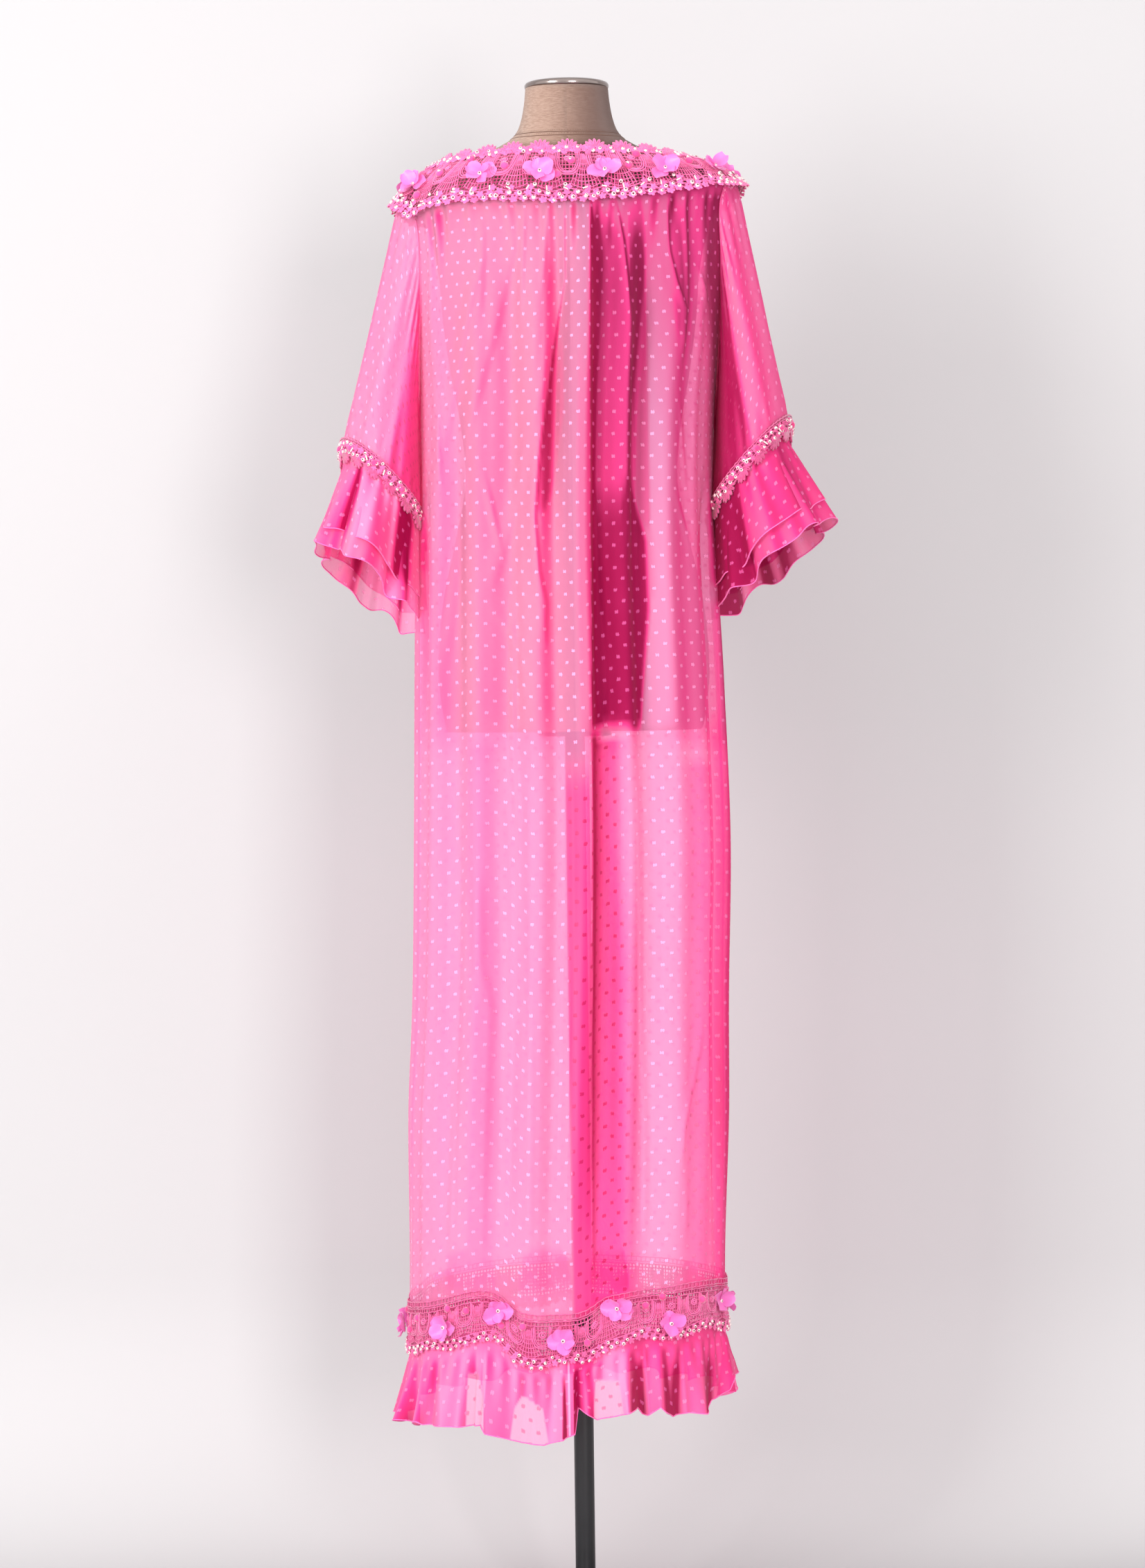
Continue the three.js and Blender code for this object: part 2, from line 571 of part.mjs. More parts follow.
// The cuff's ring, or the ruffle's ring a distance down below it.
function cuffRing(sleeve, share, down, inset) {
  const angle = TAU * share;
  const spread = clamp((down - TRIM_FOOT) / (RUFFLE_LENGTHS.lower - TRIM_FOOT));
  const outerX = sleeve.outerX + sleeve.flare * spread - inset;
  const innerX = sleeve.innerX + inset;
  const halfX = (outerX - innerX) / 2;
  const halfY = SLEEVE_HALF_DEPTH + RUFFLE_SPREAD * spread - inset;
  const slant = (sleeve.outerZ - sleeve.innerZ) / 2;
  const z = sleeve.innerZ + slant + slant * Math.cos(angle) + sleeve.nearLift * Math.sin(angle) - down;
  const x = (outerX + innerX) / 2 + halfX * Math.cos(angle);
  return new THREE.Vector3(sleeve.side * x, SLEEVE_Y - halfY * Math.sin(angle), z);
}
function sleevePoint(sleeve, share, down) {
  const angle = TAU * share;
  const outer = 0.5 + 0.5 * Math.cos(angle);
  const fold = -SLEEVE_FOLD_DEPTH * Math.cos(TAU * SLEEVE_FOLD_COUNT * share);
  const out = new THREE.Vector3(sleeve.side * Math.cos(angle), -Math.sin(angle), 0);
  return armholeRing(sleeve, share)
    .lerp(cuffRing(sleeve, share, -SEAM, 0), down)
    .addScaledVector(out, fold * outer * Math.sin(Math.PI * down));
}
// Rings on the right sleeve run the other way round, so that each wall faces out.
const turned = (sleeve, column) => (sleeve.side > 0 ? 1 - column : column);
const TRIM_FOOT = TRIM_BELOW + TRIM_FAN + 2;
function rufflePoint(sleeve, share, down, inset) {
  const angle = TAU * share;
  const grown = clamp((down - TRIM_FOOT) / (RUFFLE_LENGTHS.lower - TRIM_FOOT)) ** 0.8;
  const uneven = 0.5 * Math.sin(angle * 2 + sleeve.side) + 0.35 * Math.sin(angle * 5 + 1.3);
  const room = 0.12 + 0.88 * smooth((1.15 + Math.cos(angle)) / 1.2);
  const wave = RUFFLE_WAVE_DEPTH * grown * room * Math.sin(RUFFLE_WAVES * angle + uneven);
  const out = new THREE.Vector3(sleeve.side * Math.cos(angle), -Math.sin(angle), 0);
  return cuffRing(sleeve, share, down, inset).addScaledVector(out, wave);
}
for (const sleeve of SLEEVES) {
  const ringOf = (columns, rows, point) =>
    gridOf(columns, rows, true, (column, row) => point(turned(sleeve, column), row));
  const tube = ringOf(SLEEVE_COLUMNS, evenRows(6), (share, row) => sleevePoint(sleeve, share, row));
  add("sleeve_" + sleeve.name, wall(tube, CHIFFON, true), "chiffon");

  const { upper, lower } = RUFFLE_LENGTHS;
  const layers = [
    { name: "upper", rows: [SEAM, TRIM_FOOT, upper], inset: 0 },
    { name: "lower", rows: [SEAM, TRIM_FOOT, upper, lower], inset: LAYER_STEP },
  ];
  for (const layer of layers) {
    const ruffle = ringOf(RUFFLE_COLUMNS, layer.rows, (share, down) =>
      rufflePoint(sleeve, share, down, layer.inset),
    );
    add("sleeve_" + sleeve.name + "_ruffle_" + layer.name, wall(ruffle, CHIFFON, true), "chiffon");
  }

  const trim = ringOf(RUFFLE_COLUMNS, evenRows(1), (share, row) => {
    const foot = TRIM_BELOW + TRIM_FAN * fan(share, TRIM_FANS);
    return cuffRing(sleeve, share, mix(-TRIM_ABOVE, foot, row), -(CHIFFON + LACE) / 2 - SEAM);
  });
  add("sleeve_" + sleeve.name + "_trim", wall(trim, LACE, true), "lace", 0.8);
}

// A fabric flower with a bead at its centre, raised on a surface: its underside lies inside the lace wall.
function flowerSolid(surface, share, down, steps, turn) {
  const scale = (a, b, length) => length / a.distanceTo(b);
  const shareOf = scale(surface(share + steps.share, down), surface(share - steps.share, down), 2 * steps.share);
  const downOf = scale(surface(share, down + steps.down), surface(share, down - steps.down), 2 * steps.down);
  const lifted = (radius, angle, lift) => {
    const s = share + radius * Math.cos(angle) * shareOf;
    const d = down + radius * Math.sin(angle) * downOf;
    return surface(s, d).addScaledVector(normalOf(surface, s, d, steps.share, steps.down), lift);
  };
  const corners = FLOWER_PETALS * 3;
  const top = LACE / 2 + FLOWER_HEIGHT;
  const ring = (lift, cup) => Array.from({ length: corners }, (_, j) => {
    const notch = j % 3 === 0;
    const angle = (j / corners) * TAU + turn;
    return lifted(notch ? FLOWER_NOTCH : FLOWER_RADIUS, angle, notch ? lift : lift + cup);
  });
  const points = [
    ...ring(-FLOWER_SINK, 0),
    ...ring(top - 1, FLOWER_CUP),
    lifted(0, 0, -FLOWER_SINK),
    lifted(0, 0, top + BEAD_HEIGHT),
  ];
  const [under, over] = [2 * corners, 2 * corners + 1];
  const faces = [];
  for (let j = 0; j < corners; j += 1) {
    const k = (j + 1) % corners;
    faces.push(under, j, k, over, corners + k, corners + j);
    faces.push(j, corners + k, k, j, corners + j, corners + k);
  }
  const geometry = new THREE.BufferGeometry();
  geometry.setAttribute("position", new THREE.Float32BufferAttribute(points.flatMap((p) => [p.x, p.y, p.z]), 3));
  geometry.setIndex(faces);
  return geometry;
}
const wasm = await Module();
wasm.setup();
function manifoldOf(geometry) {
  const merged = mergeVertices(new THREE.BufferGeometry()
    .setAttribute("position", geometry.getAttribute("position"))
    .setIndex(geometry.getIndex()), 1e-3);
  return new wasm.Manifold(new wasm.Mesh({
    numProp: 3,
    vertProperties: Float32Array.from(merged.attributes.position.array),
    triVerts: Uint32Array.from(merged.index.array),
  }));
}
function laceWith(gridFor, rows, flowers) {
  const beyond = [-0.4, ...rows, 1.4];
  const core = manifoldOf(shell(gridFor(beyond), 0, -CORE_DEPTH, false));
  const join = (solid, flower) => solid.add(manifoldOf(flower).subtract(core));
  const joined = flowers.reduce(join, manifoldOf(wall(gridFor(rows), LACE, false)));
  const mesh = joined.getMesh();
  const geometry = new THREE.BufferGeometry();
  geometry.setAttribute("position", new THREE.Float32BufferAttribute(mesh.vertProperties, 3));
  geometry.setIndex(Array.from(mesh.triVerts));
  return geometry;
}
const isOn = (middle) => (flower) => Math.abs(flower.share - middle) < SIDE;

// Lace yoke, in two halves that meet on the shoulders
for (const half of HALVES) {
  const gridFor = (rows) => gridOf(YOKE_COLUMNS / 2 + 1, rows, false, (column, row) => {
    const share = placeOf(half.middle, column);
    const rise = -NECK_FAN_HEIGHT * fan(share, NECK_FANS);
    const foot = 1 + YOKE_SCALLOP_HEIGHT * fan(share, YOKE_SCALLOPS);
    return yokePoint(share, mix(rise, foot, row));
  });
  const flowers = YOKE_FLOWERS.filter(isOn(half.middle)).map((flower, k) =>
    flowerSolid(yokePoint, flower.share, flower.low, { share: 0.004, down: 0.04 }, k * 1.7),
  );
  add("yoke_" + half.name, laceWith(gridFor, [0, 0.34, 0.68, 1], flowers), "lace", 0.8);
}

// Lace hem band and hem ruffle
const BAND_OUT = (CHIFFON + LACE) / 2 + SEAM;
function hemBandPoint(share, below) {
  const z = hemTop(share) - below;
  return bodyPoint(share, z).addScaledVector(bodyNormal(share, z), BAND_OUT);
}
function hemRufflePoint(share, below) {
  const z = hemTop(share) - below;
  const free = clamp((below - HEM_FREE) / (HEM_RUFFLE_END - HEM_FREE));
  const angle = TAU * share;
  const uneven = 1.1 * Math.sin(angle * 3 + 0.6) + 0.7 * Math.sin(angle * 7 + 2.1);
  const wave = HEM_WAVE_DEPTH * Math.sin(HEM_WAVES * angle + uneven);
  const turn = angleOf(share);
  const out = new THREE.Vector3(Math.sin(turn), -Math.cos(turn), 0);
  const flare = HEM_FLARE - HEM_LEAN * Math.sin(turn);
  return bodyPoint(share, z).addScaledVector(out, (wave + flare) * free);
}
for (const half of HALVES) {
  const gridFor = (rows) => gridOf(half.columns, rows, false, (column, row) => {
    const share = placeOf(half.middle, column);
    const foot = HEM_BAND_WIDTH + HEM_SCALLOP_HEIGHT * fan(share, HEM_SCALLOPS);
    return hemBandPoint(share, mix(0, foot, row));
  });
  const flowers = HEM_FLOWERS.filter(isOn(half.middle)).map((flower, k) =>
    flowerSolid(hemBandPoint, flower.share, flower.low * HEM_BAND_WIDTH, { share: 0.004, down: 6 }, k * 2.3),
  );
  add("hem_band_" + half.name, laceWith(gridFor, evenRows(1), flowers), "lace", 0.8);

  const steps = (half.columns - 1) * 2;
  const rows = [HEM_RUFFLE_START, HEM_FREE, HEM_RUFFLE_END];
  const ruffle = gridOf(steps + 1, rows, false, (column, below) => {
    const at = (k) => hemRufflePoint(placeOf(half.middle, k / steps), below);
    const step = Math.round(column * steps);
    const held = below <= HEM_FREE && step % 2 === 1;
    return held ? at(step - 1).lerp(at(step + 1), 0.5) : at(step);
  });
  add("hem_ruffle_" + half.name, wall(ruffle, CHIFFON, false), "chiffon");
}

export default dress;
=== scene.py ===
# Looks of a sheer maxi dress with a lace yoke, bell sleeves and a ruffled hem, on a limbless dress form.
# Sizes are in millimetres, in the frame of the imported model, and become metres when a mesh is made.
# The back of the dress faces -Y. A share is a part of the way round: 0 centre back, 0.25 right side,
# 0.5 centre front and 0.75 left side.

import math

import bpy
import numpy as np
from mathutils import Matrix, Vector


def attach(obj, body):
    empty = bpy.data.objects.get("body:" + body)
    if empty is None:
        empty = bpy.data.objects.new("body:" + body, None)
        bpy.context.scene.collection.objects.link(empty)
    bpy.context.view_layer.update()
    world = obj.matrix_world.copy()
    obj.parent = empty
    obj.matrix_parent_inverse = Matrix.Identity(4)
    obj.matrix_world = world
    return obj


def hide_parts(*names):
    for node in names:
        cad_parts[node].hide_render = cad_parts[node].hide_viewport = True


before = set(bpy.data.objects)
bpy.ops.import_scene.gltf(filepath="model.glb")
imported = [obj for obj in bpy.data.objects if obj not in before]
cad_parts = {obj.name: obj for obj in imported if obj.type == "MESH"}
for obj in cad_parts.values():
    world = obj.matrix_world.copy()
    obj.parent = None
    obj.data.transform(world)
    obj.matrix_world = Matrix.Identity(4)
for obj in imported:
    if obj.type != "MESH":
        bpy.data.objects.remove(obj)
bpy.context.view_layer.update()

MM = 0.001
TAU = 2 * math.pi
rng = np.random.default_rng(11)

# Sizes shared with the solids
CHIFFON = 1.2
LACE = 2.0
SEAM = 0.5
BASE_RADIUS = 165
BASE_THICKNESS = 9
COLLAR_RADIUS = 24
COLLAR_TOP = 42
POLE_RADIUS = 11.5
FLANGE_RADIUS = 42
FLANGE_THICKNESS = 6
REST_GAP = 0.3
FORM_POWER = 0.9
CAP_RADIUS = 48.5
CAP_TOP = 1769
CAP_Y = 5.5

# Dress form: z, half width, depth behind, depth in front
FORM = np.array([
    [1024, 146, 103, 103],
    [1030, 149, 107, 106],
    [1090, 156, 111, 106],
    [1170, 150, 106, 98],
    [1250, 133, 91, 90],
    [1310, 122, 82, 88],
    [1370, 126, 84, 98],
    [1440, 138, 91, 116],
    [1500, 146, 94, 125],
    [1550, 150, 92, 114],
    [1600, 161, 85, 92],
    [1630, 174, 77, 77],
    [1645, 179, 70, 69],
    [1666, 160, 57, 57],
    [1681, 118, 51, 53],
    [1689, 92, 50, 53],
    [1698, 72, 50, 54],
    [1708, 60, 49, 55],
    [1724, 53, 46, 55],
    [1745, 49, 43, 54],
    [1761, 47.5, 42, 53],
])

# Dress body before folds: z, half width, depth behind, depth in front, shift to the right
OVAL_POWER = 0.83
BODY = np.array([
    [200, 182, 131, 135, -16],
    [400, 181, 128, 133, -16],
    [585, 180, 127, 132, -11],
    [720, 177, 126, 132, -7],
    [900, 177, 125, 132, -3],
    [1080, 173, 124, 132, -4],
    [1250, 168, 121, 135, -6],
    [1390, 169, 119, 138, -4],
    [1480, 175, 116, 139, -1],
    [1540, 181, 112, 133, 0],
    [1600, 190, 106, 122, 0],
    [1660, 206, 97, 106, 0],
])
GIRTH = 950

# Long folds: place at top, place at foot, half width, depth, top, foot
BACK_FOLDS = [
    (-214, -222, 26, 7, 1600, 330),
    (-190, -188, 16, -9, 1640, 900),
    (-168, -172, 26, 6, 1600, 330),
    (-136, -140, 22, -6, 1420, 330),
    (-102, -108, 30, 6, 1600, 330),
    (-66, -74, 20, -5, 1640, 330),
    (-34, -44, 24, 10, 1610, 300),
    (-10, -18, 14, -13, 1640, 1120),
    (14, 4, 20, 12, 1640, 300),
    (38, 34, 18, -14, 1640, 330),
    (62, 58, 16, 8, 1640, 330),
    (84, 82, 18, -9, 1640, 500),
    (116, 118, 26, 9, 1640, 330),
    (150, 150, 20, 6, 1640, 330),
    (184, 186, 15, -12, 1560, 330),
    (212, 212, 22, 5, 1340, 330),
]
FRONT_FOLDS = [
    (-212, -214, 26, 6, 1340, 330),
    (-176, -184, 20, -9, 1600, 330),
    (-140, -150, 26, 8, 1590, 330),
    (-98, -112, 24, -8, 1590, 330),
    (-58, -70, 26, 8, 1590, 330),
    (-20, -28, 20, -10, 1590, 330),
    (16, 12, 24, 9, 1590, 330),
    (56, 56, 22, -9, 1590, 330),
    (98, 104, 28, 8, 1590, 330),
    (142, 152, 22, -8, 1600, 330),
    (180, 192, 26, 7, 1600, 330),
]
HEM_SOFTNESS = 0.25
GATHER_LENGTH = 70
GATHERS = 46
GATHER_DEPTH = 1.6

# Creases of the back: distance from the middle and height along the line, then depth,
# reach to the left and reach to the right. A short reach on one side makes a sharp fold edge.
BACK_CREASES = [
    ([(-5, 1640), (-5, 1590), (-6, 1531), (-12, 1500), (-20, 1449), (-29, 1384), (-35, 1332), (-40, 1268),
      (-36, 1203), (-30, 1170), (-31, 1110)], 4.5, 16, 3),
    ([(25, 1640), (25, 1600), (24, 1500), (22, 1300), (20, 1010)], 5.5, 14, 3),
    ([(20, 1050), (18, 800), (14, 560), (12, 400)], 1.8, 14, 5),
    ([(50, 1640), (60, 1578), (64, 1518), (67, 1484), (64, 1317), (66, 1220)], 4, 11, 4),
    ([(110, 1635), (111, 1565), (117, 1526), (127, 1500), (126, 1469), (121, 1430)], 3.2, 9, 4),
    ([(132, 1635), (131, 1560), (130, 1470)], 2.2, 6, 5),
    ([(140, 1560), (148, 1531), (158, 1505), (160, 1449), (157, 1358), (152, 1300)], 3.2, 10, 4),
    ([(-174, 1604), (-174, 1539), (-171, 1474), (-166, 1397), (-165, 1319)], 2.5, 5, 9),
    ([(-164, 1620), (-156, 1559), (-157, 1505), (-160, 1423)], 2.2, 6, 8),
    ([(-98, 1625), (-97, 1560), (-100, 1480)], 1.8, 9, 7),
    ([(-50, 1625), (-52, 1560), (-56, 1470)], 2.0, 8, 6),
    ([(-26, 1625), (-27, 1570), (-31, 1500)], 1.8, 7, 5),
    ([(-148, 1400), (-147, 1290)], 1.8, 7, 4),
    ([(-119, 1337), (-118, 1260)], 1.6, 6, 4),
    ([(-99, 1329), (-88, 1270), (-78, 1215)], 1.9, 9, 5),
    ([(119, 1412), (127, 1280)], 1.9, 6, 5),
    ([(134, 1381), (139, 1322)], 1.5, 5, 4),
    ([(109, 1306), (122, 1262), (136, 1215)], 2.1, 8, 5),
    ([(-134, 1250), (-140, 1170), (-147, 1090)], 1.8, 8, 8),
    ([(-69, 1190), (-70, 1100), (-71, 1010), (-66, 900)], 2.0, 8, 8),
    ([(-107, 880), (-107, 764), (-99, 712), (-106, 590), (-110, 503), (-113, 417)], 1.9, 12, 9),
    ([(-51, 980), (-52, 800), (-54, 600), (-58, 430)], 1.6, 9, 8),
    ([(-84, 960), (-80, 760), (-86, 560), (-90, 430)], 1.5, 10, 8),
    ([(-140, 900), (-144, 700), (-150, 430)], 1.7, 9, 7),
    ([(70, 990), (72, 800), (74, 600), (72, 440)], 1.8, 6, 10),
    ([(100, 1010), (98, 820), (96, 640)], 1.6, 9, 9),
    ([(138, 700), (126, 620), (113, 576), (110, 520)], 2.4, 9, 5),
    ([(118, 520), (116, 440)], 1.5, 7, 6),
    ([(150, 960), (148, 760), (140, 560)], 1.8, 8, 5),
    ([(-58, 1600), (-85, 1480), (-122, 1330)], 2.4, 20, 10),
    ([(-95, 1570), (-128, 1430), (-150, 1320)], 2.0, 15, 8),
    ([(-28, 1430), (-60, 1300), (-96, 1170)], 2.0, 18, 9),
    ([(-100, 1180), (-60, 1120), (-52, 1040)], 1.4, 12, 9),
]
# The same kind of creases for the front, which the photograph does not show
FRONT_CREASES = [
    ([(8, 1600), (6, 1500), (2, 1300), (-3, 1000), (-8, 700), (-10, 420)], 4.5, 14, 4),
    ([(-30, 1590), (-36, 1480), (-45, 1340)], 3, 10, 5),
    ([(52, 1600), (58, 1500), (60, 1380), (55, 1240)], 3.5, 5, 11),
    ([(96, 1600), (102, 1520), (100, 1430)], 2.6, 8, 5),
    ([(-90, 1600), (-96, 1500), (-94, 1400)], 2.6, 6, 9),
    ([(-134, 1580), (-140, 1480), (-138, 1370)], 2.4, 8, 6),
    ([(-112, 1330), (-98, 1230)], 1.8, 8, 5),
    ([(118, 1310), (104, 1200)], 1.8, 5, 8),
    ([(70, 1120), (76, 900), (72, 640), (68, 430)], 2.4, 11, 5),
    ([(-60, 1100), (-66, 860), (-60, 600), (-64, 430)], 2.4, 6, 11),
    ([(118, 980), (122, 760), (116, 520)], 1.9, 8, 8),
    ([(-120, 960), (-114, 740), (-122, 520)], 1.9, 8, 8),
]
CREASE_FADE = 45
# Bands of the back with painted shade: darker, as gathered or doubled cloth is, though only one sheet of
# cloth hangs there.
# Left edge and right edge at each height, then how much darker, how soft the left and right edges are, and
# over what height the band starts
BACK_SHADE_BANDS = [
    ([(1650, 24, 49), (1614, 24, 49), (1578, 24, 60), (1518, 24, 66), (1484, 23, 70), (1317, 22, 68),
      (1240, 21, 84), (1162, 21, 86)], 0.68, 2, 34, 70),
    ([(1400, 23, 62), (1317, 22, 63), (1240, 21, 84), (1162, 21, 86), (1084, 20, 79), (1020, 20, 73)],
     1.0, 2, 9, 150),
    ([(1500, -12, -7), (1449, -20, -7), (1384, -29, -7), (1300, -38, -20), (1262, -40, -34)], 0.26, 2, 6, 60),
    ([(1640, 67, 84), (1480, 68, 87), (1300, 70, 88), (1240, 80, 88)], 0.45, 4, 6, 90),
    ([(1640, 158, 210), (1500, 160, 210), (1300, 157, 210), (1180, 158, 210)], 0.6, 22, 4, 20),
    ([(1180, 164, 210), (900, 160, 210), (600, 150, 210), (340, 150, 210)], 0.5, 40, 4, 20),
    ([(1020, 19, 52), (912, 18, 52), (756, 16, 62), (600, 13, 62), (340, 10, 58)], 0.66, 2, 48, 6),
    ([(1020, -12, 16), (700, -12, 16), (340, -10, 12)], 0.5, 6, 3, 70),
    ([(1020, -122, -90), (850, -125, -92), (712, -122, -88), (500, -130, -98), (340, -132, -100)],
     0.22, 14, 20, 20),
    ([(1000, 122, 160), (760, 120, 160), (576, 114, 155), (340, 108, 150)], 0.28, 30, 30, 20),
    ([(1600, -190, -172), (1400, -190, -166), (1200, -190, -166)], 0.3, 4, 6, 20),
    ([(1640, 112, 134), (1500, 118, 134), (1460, 124, 134)], 0.16, 10, 10, 40),
    ([(444, -138, -114), (432, -152, -100), (405, -155, -97), (380, -155, -97)], 0.26, 8, 8, 10),
    ([(446, -52, -28), (434, -66, -16), (408, -71, -11), (380, -71, -11)], 0.3, 8, 8, 10),
    ([(446, 14, 40), (436, 10, 50), (410, 8, 54), (380, 8, 54)], 0.72, 8, 8, 10),
]

# Yoke
NECK = (150, 62, 72)
NECK_SIDE = 1675
NECK_BACK_RISE = 12
NECK_FRONT_DROP = 20
YOKE_FOOT = (201, 98, 108)
YOKE_FOOT_HEIGHT = np.array([
    [-180, 1592], [-120, 1616], [-90, 1631], [-72, 1622], [-60, 1613], [-46, 1623], [-20, 1627],
    [0, 1625], [30, 1634], [52, 1643], [75, 1645], [90, 1648], [120, 1628], [180, 1592],
])
YOKE_BULGE = 6
NECK_FANS = 26
YOKE_SCALLOP_HEIGHT = 0.05
TUCK = 0.86

# Armholes and sleeves
SIDE = 0.25
ARMHOLE_TOP_SHARE = 0.062
UNDERARM = 1392
# Their rings in the picture's view, how dark the painted shade on cloth and trim is there (a share of full
# dark, and a share of the trim's light), and the folds of the ruffles: share, half width and depth
SLEEVES = {
    "left": dict(side=-1, outer_x=263, inner_x=171, outer_z=1351, inner_z=1262, near_lift=24, flare=32,
                 dim=0.03, trim_dim=0.75, folds=[
                     (0.10, 0.055, 13), (0.165, 0.028, -12), (0.24, 0.085, 19), (0.357, 0.05, -21),
                     (0.44, 0.045, 10)]),
    "right": dict(side=1, outer_x=251, inner_x=159, outer_z=1374, inner_z=1272, near_lift=18, flare=46,
                  dim=0.5, trim_dim=0.45, folds=[
                      (0.06, 0.05, 10), (0.14, 0.03, -6), (0.21, 0.10, 19), (0.345, 0.046, -21),
                      (0.43, 0.06, 10)]),
}
# Folds of the ruffles on the side away from the picture: share, half width and depth
RUFFLE_FAR = [(0.53, 0.03, -6), (0.60, 0.05, 12), (0.67, 0.03, -9), (0.75, 0.06, 14), (0.83, 0.035, -10),
              (0.91, 0.05, 11), (0.98, 0.03, -6)]
SLEEVE_HALF_DEPTH = 80
SLEEVE_Y = 3
CAP_SHARE = 0.13
SLEEVE_FOLD_COUNT = 8
SLEEVE_FOLD_DEPTH = 3.5
TRIM_ABOVE = 6
TRIM_BELOW = 16
TRIM_FAN = 9
TRIM_FANS = 16
TRIM_FOOT = TRIM_BELOW + TRIM_FAN + 2
RUFFLE_UPPER = 96
RUFFLE_LOWER = 118
RUFFLE_WAVES = 9
RUFFLE_WAVE_DEPTH = 12
RUFFLE_SPREAD = 20
LAYER_STEP = 3.4

# Hem
HEM_TOP = np.array([
    [-180, 400], [-130, 388], [-90, 370], [-60, 376], [-45, 384], [-30, 394], [-22, 391], [-12, 370],
    [2, 370], [12, 388], [32, 395], [54, 398], [90, 392], [130, 395], [180, 400],
])
HEM_BAND_WIDTH = 53
HEM_SCALLOPS = 12
HEM_SCALLOP_HEIGHT = 7
HEM_TUCK = 8
HEM_RUFFLE_START = 46
HEM_RUFFLE_END = 138
HEM_WAVES = 22
HEM_WAVE_DEPTH = 12
HEM_FLARE = 9
HEM_LEAN = 5
HEM_FREE = 64
# Hem ruffle behind: lower edge as distance from the middle and height
HEM_FOOT = np.array([
    [-212, 247], [-196, 244], [-184, 237], [-161, 240], [-140, 240], [-116, 243], [-112, 235], [-91, 230],
    [-69, 224], [-45, 222], [-24, 229], [-10, 234], [-6, 262], [6, 254], [15, 248], [37, 253], [61, 260],
    [66, 252], [73, 251], [87, 261], [101, 248], [119, 251], [141, 248], [146, 258], [168, 266], [175, 280],
])
# Its folds: distance from the middle, reach to the left, reach to the right, depth
HEM_FOLDS = [
    (-196, 14, 18, 9), (-170, 12, 12, -6), (-152, 14, 16, 9), (-122, 14, 5, -9), (-106, 6, 30, 12),
    (-66, 14, 14, -4), (-24, 30, 5, 13), (-8, 3, 14, -14), (18, 12, 14, -3), (46, 8, 16, 10), (67, 12, 4, -9),
    (84, 14, 14, 9), (108, 12, 6, -7), (128, 14, 12, 9), (146, 10, 6, -7), (166, 14, 10, 8),
]
# Where only one layer hangs there: height, left edge and right edge
HEM_WINDOWS = [
    [(300, -130, -118), (268, -132, -113), (225, -134, -113)],
    [(275, -70, -66), (262, -78, -46), (222, -84, -40)],
    [(292, 14, 40), (262, 12, 44), (240, 12, 48)],
]

# Flowers: share of the way round, and how far down the band
YOKE_FLOWERS = [
    (-0.199, 0.5), (-0.098, 0.5), (-0.031, 0.48), (0.041, 0.48), (0.109, 0.5), (0.184, 0.45),
    (0.285, 0.5), (0.36, 0.52), (0.432, 0.46), (0.505, 0.54), (0.574, 0.48), (0.645, 0.5), (0.716, 0.5),
]
HEM_FLOWERS = [
    (-0.236, 0.5), (-0.145, 0.6), (-0.078, 0.3), (-0.004, 0.53), (0.055, 0.26), (0.116, 0.76), (0.199, 0.45),
    (0.295, 0.62), (0.362, 0.3), (0.43, 0.64), (0.5, 0.3), (0.57, 0.62), (0.642, 0.3), (0.712, 0.6),
]


# Shapes of the cloth, as functions of a share of the way round and a distance down

def smooth(x):
    x = np.clip(x, 0, 1)
    return x * x * (3 - 2 * x)


def mix(a, b, t):
    return a + (b - a) * t


def look_up(table, at, column):
    place = table[:, 0]
    values = table[:, column]
    i = np.searchsorted(place[1:-1], at, side="left")
    span = place[i + 1] - place[i]
    t = np.clip((at - place[i]) / span, 0, 1)
    before = np.maximum(i - 1, 0)
    after = np.minimum(i + 2, len(place) - 1)
    p = values[i]
    q = values[i + 1]
    m = (q - values[before]) / (place[i + 1] - place[before]) * span
    n = (values[after] - p) / (place[after] - place[i]) * span
    return p + t * m + t**2 * (3 * (q - p) - 2 * m - n) + t**3 * (2 * (p - q) + m + n)


def signed_power(x, power):
    return np.sign(x) * np.abs(x) ** power


def oval(angle, half, back, front, power):
    depth = np.where(np.cos(angle) > 0, back, front)
    return half * signed_power(np.sin(angle), power), -depth * signed_power(np.cos(angle), power)


RAW = np.linspace(0, TAU, 721)
RAW_X, RAW_Y = oval(RAW, 176, 122, 130, OVAL_POWER)
EVEN = np.concatenate([[0], np.cumsum(np.hypot(np.diff(RAW_X), np.diff(RAW_Y)))])
SPLIT = EVEN[[0, 180, 360, 540, 720]] / EVEN[-1]


def angle_of(share):
    turn = share - np.floor(share)
    return np.interp(np.interp(turn, [0, 0.25, 0.5, 0.75, 1], SPLIT) * EVEN[-1], EVEN, RAW)


def signed_degrees(angle):
    return np.degrees(np.arctan2(np.sin(angle), np.cos(angle)))


def points_of(x, y, z):
    return np.stack(np.broadcast_arrays(x, y, z), axis=-1).astype(float)


def unit(vectors):
    return vectors / np.maximum(np.linalg.norm(vectors, axis=-1, keepdims=True), 1e-9)


